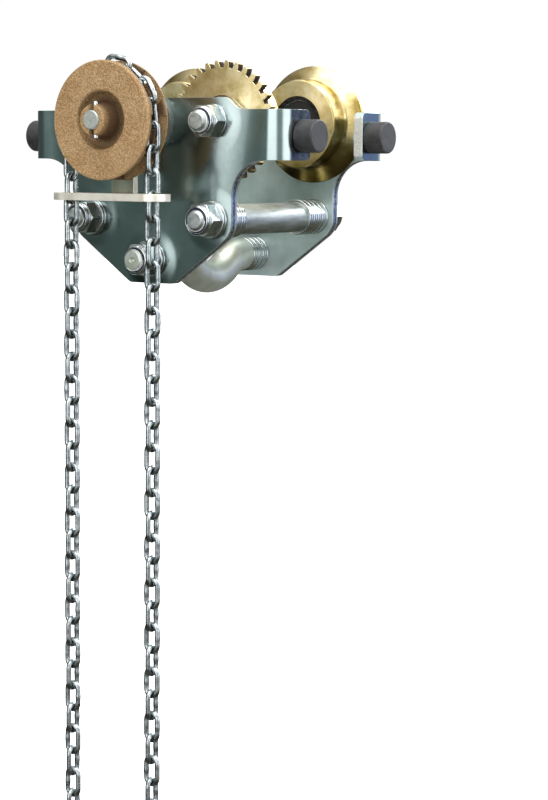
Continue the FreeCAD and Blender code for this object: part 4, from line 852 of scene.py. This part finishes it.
def box_axis(bar):
    """The line of a straight bar along Y, as X and Z."""
    near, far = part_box(bar)
    return (near[0] + far[0]) / 2, (near[2] + far[2]) / 2


axles = [corner + "_axle" for corner in CORNERS]
crossbars = ["left_crossbar", "right_crossbar"]
axle_axes = [box_axis(bar) for bar in axles]
bar_axes = [box_axis(bar) for bar in crossbars]
load_axis = (joint_at["load_bar_swing"][0], joint_at["load_bar_swing"][2])
for name, bars, axes, chamfer in (("axle_threads", axles, axle_axes, BAR_CHAMFER),
                                  ("crossbar_threads", crossbars, bar_axes, BAR_CHAMFER),
                                  ("load_bar_threads", ["load_bar"], [load_axis], LOAD_BAR_CHAMFER)):
    ends = threaded_ends(axes, chamfer, bars)
    shown = min(end[2] for end in ends)
    threads = grown(name, [end[0] for end in ends], [end[1] for end in ends], thread_tree, {
        "Diameter": THREAD_DIA, "Lead": THREAD_LEAD, "Turns": shown / THREAD_LEAD,
        "Ridge": RIDGE_SHARE * THREAD_LEAD, "Finish": zinc_thread})
    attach(threads, body_of[bars[0]])
    print(name, len(ends), "ends,", round(shown / MM, 2), "mm shown")

# %% [markdown]
# ## Washers
# Stacks of loose washers fill the room between the bars' shoulders and the plates, and more lie under the
# nuts. They are all stamped rings with rounded edges, so one ring is swept by a tree and set on every
# place. Loose washers never line up quite, so their diameters differ by a percent or two, which lets the
# eye tell them apart.

# %% One stamped ring on every place
RING_STEPS = 72
ROUND_STEPS = 3
ring_tree, given = start_tree("stamped_rings", ("Diameter", "Bore", "Thickness", "Round"), "Rings")
both = add(ring_tree, "ShaderNodeMath", {0: given["Diameter"], 1: given["Bore"]}, operation="ADD")
wall = add(ring_tree, "ShaderNodeMath", {0: given["Diameter"], 1: given["Bore"]}, operation="SUBTRACT")
middle = add(ring_tree, "ShaderNodeMath", {0: both, 1: 0.25}, operation="MULTIPLY")
width = add(ring_tree, "ShaderNodeMath", {0: wall, 1: 0.5}, operation="MULTIPLY")
circle = add(ring_tree, "GeometryNodeCurvePrimitiveCircle", {"Resolution": RING_STEPS, "Radius": middle})
section = add(ring_tree, "GeometryNodeCurvePrimitiveQuadrilateral", {
    "Width": width, "Height": given["Thickness"]})
soft = add(ring_tree, "GeometryNodeFilletCurve", {
    0: section, "Count": ROUND_STEPS, "Radius": given["Round"]}, mode="POLY")
swept = add(ring_tree, "GeometryNodeCurveToMesh", {"Curve": circle, "Profile Curve": soft})
spread = add(ring_tree, "GeometryNodeInputNamedAttribute", {"Name": "spread"}, data_type="FLOAT_VECTOR")
end_tree(ring_tree, given, swept, spread)
print("ring tree:", len(ring_tree.nodes), "nodes")

# %% Stack the washers
PLATE_IN = 87.5 * MM
PLATE_OUT = 97.5 * MM
WASHER_BORE = 20.8 * MM
WASHER_ROUND = 0.7 * MM
SLACK_SHARES = (1.0, 0.985, 0.995, 0.978)
SPACER = 4 * MM
WASHER = 3.5 * MM
SPACER_WIDE = 36 * MM
LOAD_SPACER_WIDE = 35 * MM
WASHER_WIDE = 37 * MM
AXLE_WASHER_WIDE = 33 * MM
FRONT, REAR = -1, 1


def washers(name, diameter, thickness, stacks):
    """Rings that stand for a CAD node; a stack is its axis, first face, step, number and diameter."""
    points, spreads = [], []
    for axis, face, step, number, own in stacks:
        for place in range(number):
            points.append(Vector((axis[0], face + step * (place + 0.5), axis[1])))
            spreads.append(own / diameter * SLACK_SHARES[place % len(SLACK_SHARES)])
    rings = grown(name + "_finished", points, [to_rear] * len(points), ring_tree, {
        "Diameter": diameter, "Bore": WASHER_BORE, "Thickness": thickness, "Round": WASHER_ROUND,
        "Finish": zinc_bright}, spreads)
    stand_for(rings, name)
    print(name, len(points), "rings")


washers("crossbar_spacer_washers", SPACER_WIDE, SPACER,
        [(axis, side * PLATE_IN, -side * SPACER, count, SPACER_WIDE)
         for axis in bar_axes for side, count in ((FRONT, 6), (REAR, 9))])
washers("load_bar_spacer_washers", LOAD_SPACER_WIDE, SPACER,
        [(load_axis, side * PLATE_IN, -side * SPACER, count, LOAD_SPACER_WIDE)
         for side, count in ((FRONT, 5), (REAR, 7))])
washers("plate_washers", WASHER_WIDE, WASHER,
        [(axis, side * PLATE_OUT, side * WASHER, count, WASHER_WIDE)
         for axis in bar_axes + [load_axis] for side, count in ((FRONT, 2), (REAR, 1))]
        + [(axis, side * PLATE_OUT, side * WASHER, 1, AXLE_WASHER_WIDE)
           for axis in axle_axes[:2] for side in (FRONT, REAR)])

# %% [markdown]
# ## Studio floor
# The trolley hangs above a plain pale floor that runs far back, so no horizon shows. It glows a little, as
# a lit paper ground does. It is left out of reflections, because the room below gives the metal its darker
# ground.

# %% Floor
FLOOR_HALF = 12.0
FLOOR_GAP = 30 * MM
floor_z = cad_box[0][2] - FLOOR_GAP
floor_mesh = bpy.data.meshes.new("studio_floor")
floor_mesh.from_pydata([(x * FLOOR_HALF, y * FLOOR_HALF, floor_z)
                        for x, y in ((-1, -1), (1, -1), (1, 1), (-1, 1))], [], [(0, 1, 2, 3)])
floor = bpy.data.objects.new("studio_floor", floor_mesh)
scene.collection.objects.link(floor)
floor_paint, tree, shader, place = surface("pale_studio_floor")
plug(tree, shader, {"Base Color": linear("#F7F7F7"), "Roughness": 0.9,
                    "Emission Color": linear("#FFFFFF"), "Emission Strength": 0.35})
floor_mesh.materials.append(floor_paint)
floor.visible_glossy = False
print("floor at", round(floor_z, 3), "m")

# %% [markdown]
# ## The room that the metal mirrors
# Bright metal shows what stands round it, so the room matters as much as the lamps. Two tall white screens
# stand in front and on the right, with a grey gap between them. The wall on the left is dark slate, the
# right rear is a deep blue and the wall behind a pale grey. The ceiling is white and fades towards the
# left, and the ground reflects as dark olive. The camera itself sees only a plain white ground.

# %% Room
# Headings in degrees: 0 is in front of the trolley, positive towards its right
WALLS = (
    (-180, "#A8AEAE"), (-145, "#6A7070"), (-110, "#3A403E"), (-60, "#3C4442"), (-42, "#4C5754"),
    (-32, "#596562"), (-25, "#6C7776"), (-17, "#FFFFFF"), (30, "#FFFFFF"), (38, "#6E7678"), (65, "#6E7678"),
    (76, "#FFFFFF"), (114, "#FFFFFF"), (124, "#3C4666"), (150, "#55638A"), (168, "#A0A8AC"), (180, "#A8AEAE"))
# Heights from straight down, 0, to straight up, 1
GROUND_TO_CEILING = (
    (0.2, "#35342A"), (0.42, "#3A3D38"), (0.52, "#68706F"), (0.66, "#B4B8B8"), (0.8, "#D5D5D5"))
ROOM_STRENGTH = 2.4
world = bpy.data.worlds.new("studio")
world.use_nodes = True
scene.world = world
tree = world.node_tree
direction = add(tree, "ShaderNodeTexCoord").outputs["Generated"]
axes = add(tree, "ShaderNodeSeparateXYZ", {"Vector": direction})
height = add(tree, "ShaderNodeMapRange", {"Value": axes.outputs["Z"], "From Min": -1.0, "From Max": 1.0})
ceiling = add(tree, "ShaderNodeValToRGB", {"Fac": height}, GROUND_TO_CEILING)
lit = add(tree, "ShaderNodeMapRange", {"Value": axes.outputs["X"], "From Min": -0.8, "From Max": -0.2})
fading = add(tree, "ShaderNodeValToRGB", {"Fac": lit}, ((0.0, "#6E6A60"), (1.0, "#FFFFFF")))
overhead = add(tree, "ShaderNodeMix", {"Factor": 1.0, 6: ceiling, 7: fading}, data_type="RGBA",
               blend_type="MULTIPLY")
front = add(tree, "ShaderNodeMath", {0: axes.outputs["Y"], 1: -1.0}, operation="MULTIPLY")
heading = add(tree, "ShaderNodeMath", {0: axes.outputs["X"], 1: front}, operation="ARCTAN2")
compass = add(tree, "ShaderNodeMapRange", {"Value": heading, "From Min": -math.pi, "From Max": math.pi})
walls = add(tree, "ShaderNodeValToRGB", {"Fac": compass},
            [((degrees + 180) / 360, code) for degrees, code in WALLS])
low_end = add(tree, "ShaderNodeMapRange", {"Value": axes.outputs["Z"], "From Min": -0.3, "From Max": -0.03})
high_end = add(tree, "ShaderNodeMapRange", {"Value": axes.outputs["Z"], "From Min": 0.5, "From Max": 0.25})
on_walls = add(tree, "ShaderNodeMath", {0: low_end, 1: high_end}, operation="MULTIPLY")
room = add(tree, "ShaderNodeMix", {"Factor": on_walls, 6: overhead, 7: walls}, data_type="RGBA")
seen = add(tree, "ShaderNodeLightPath").outputs["Is Camera Ray"]
picked = add(tree, "ShaderNodeMix", {"Factor": seen, 6: room, 7: linear("#AFAFAF")}, data_type="RGBA")
plug(tree, tree.nodes["Background"], {"Color": picked, "Strength": ROOM_STRENGTH})
print("room with", len(WALLS), "wall tones")

# %% [markdown]
# ## Lamps
# Four soft rectangular lamps add what the room alone doesn't give: a key light from the front right, a wide
# one from above for the wheels' upper edges, and two from behind for the rims and the far plate. The plain
# view transform keeps the tones as they are, without a film look.

# %% Soft lamps
# Name, heading and height in degrees, distance, width and height in metres, power in watts
LAMPS = (("key_softbox", 25, 50, 2.6, 1.6, 1.2, 30), ("top_softbox", 10, 82, 2.4, 2.2, 1.6, 35),
         ("rear_fill", 172, 30, 3.0, 1.8, 1.0, 50), ("right_rear_fill", 150, 19, 3.0, 1.6, 0.7, 16))
for name, azimuth, elevation, distance, width, tall, power in LAMPS:
    lamp = bpy.data.lights.new(name, "AREA")
    lamp.shape = "RECTANGLE"
    lamp.size = width
    lamp.size_y = tall
    lamp.energy = power
    holder = bpy.data.objects.new(name, lamp)
    scene.collection.objects.link(holder)
    out = outwards(math.radians(azimuth), math.radians(elevation))
    holder.matrix_world = out.to_track_quat("Z", "Y").to_matrix().to_4x4()
    holder.matrix_world.translation = out * distance
scene.view_settings.view_transform = "Standard"
scene.view_settings.exposure = 0.0
print(len(LAMPS), "soft lamps")
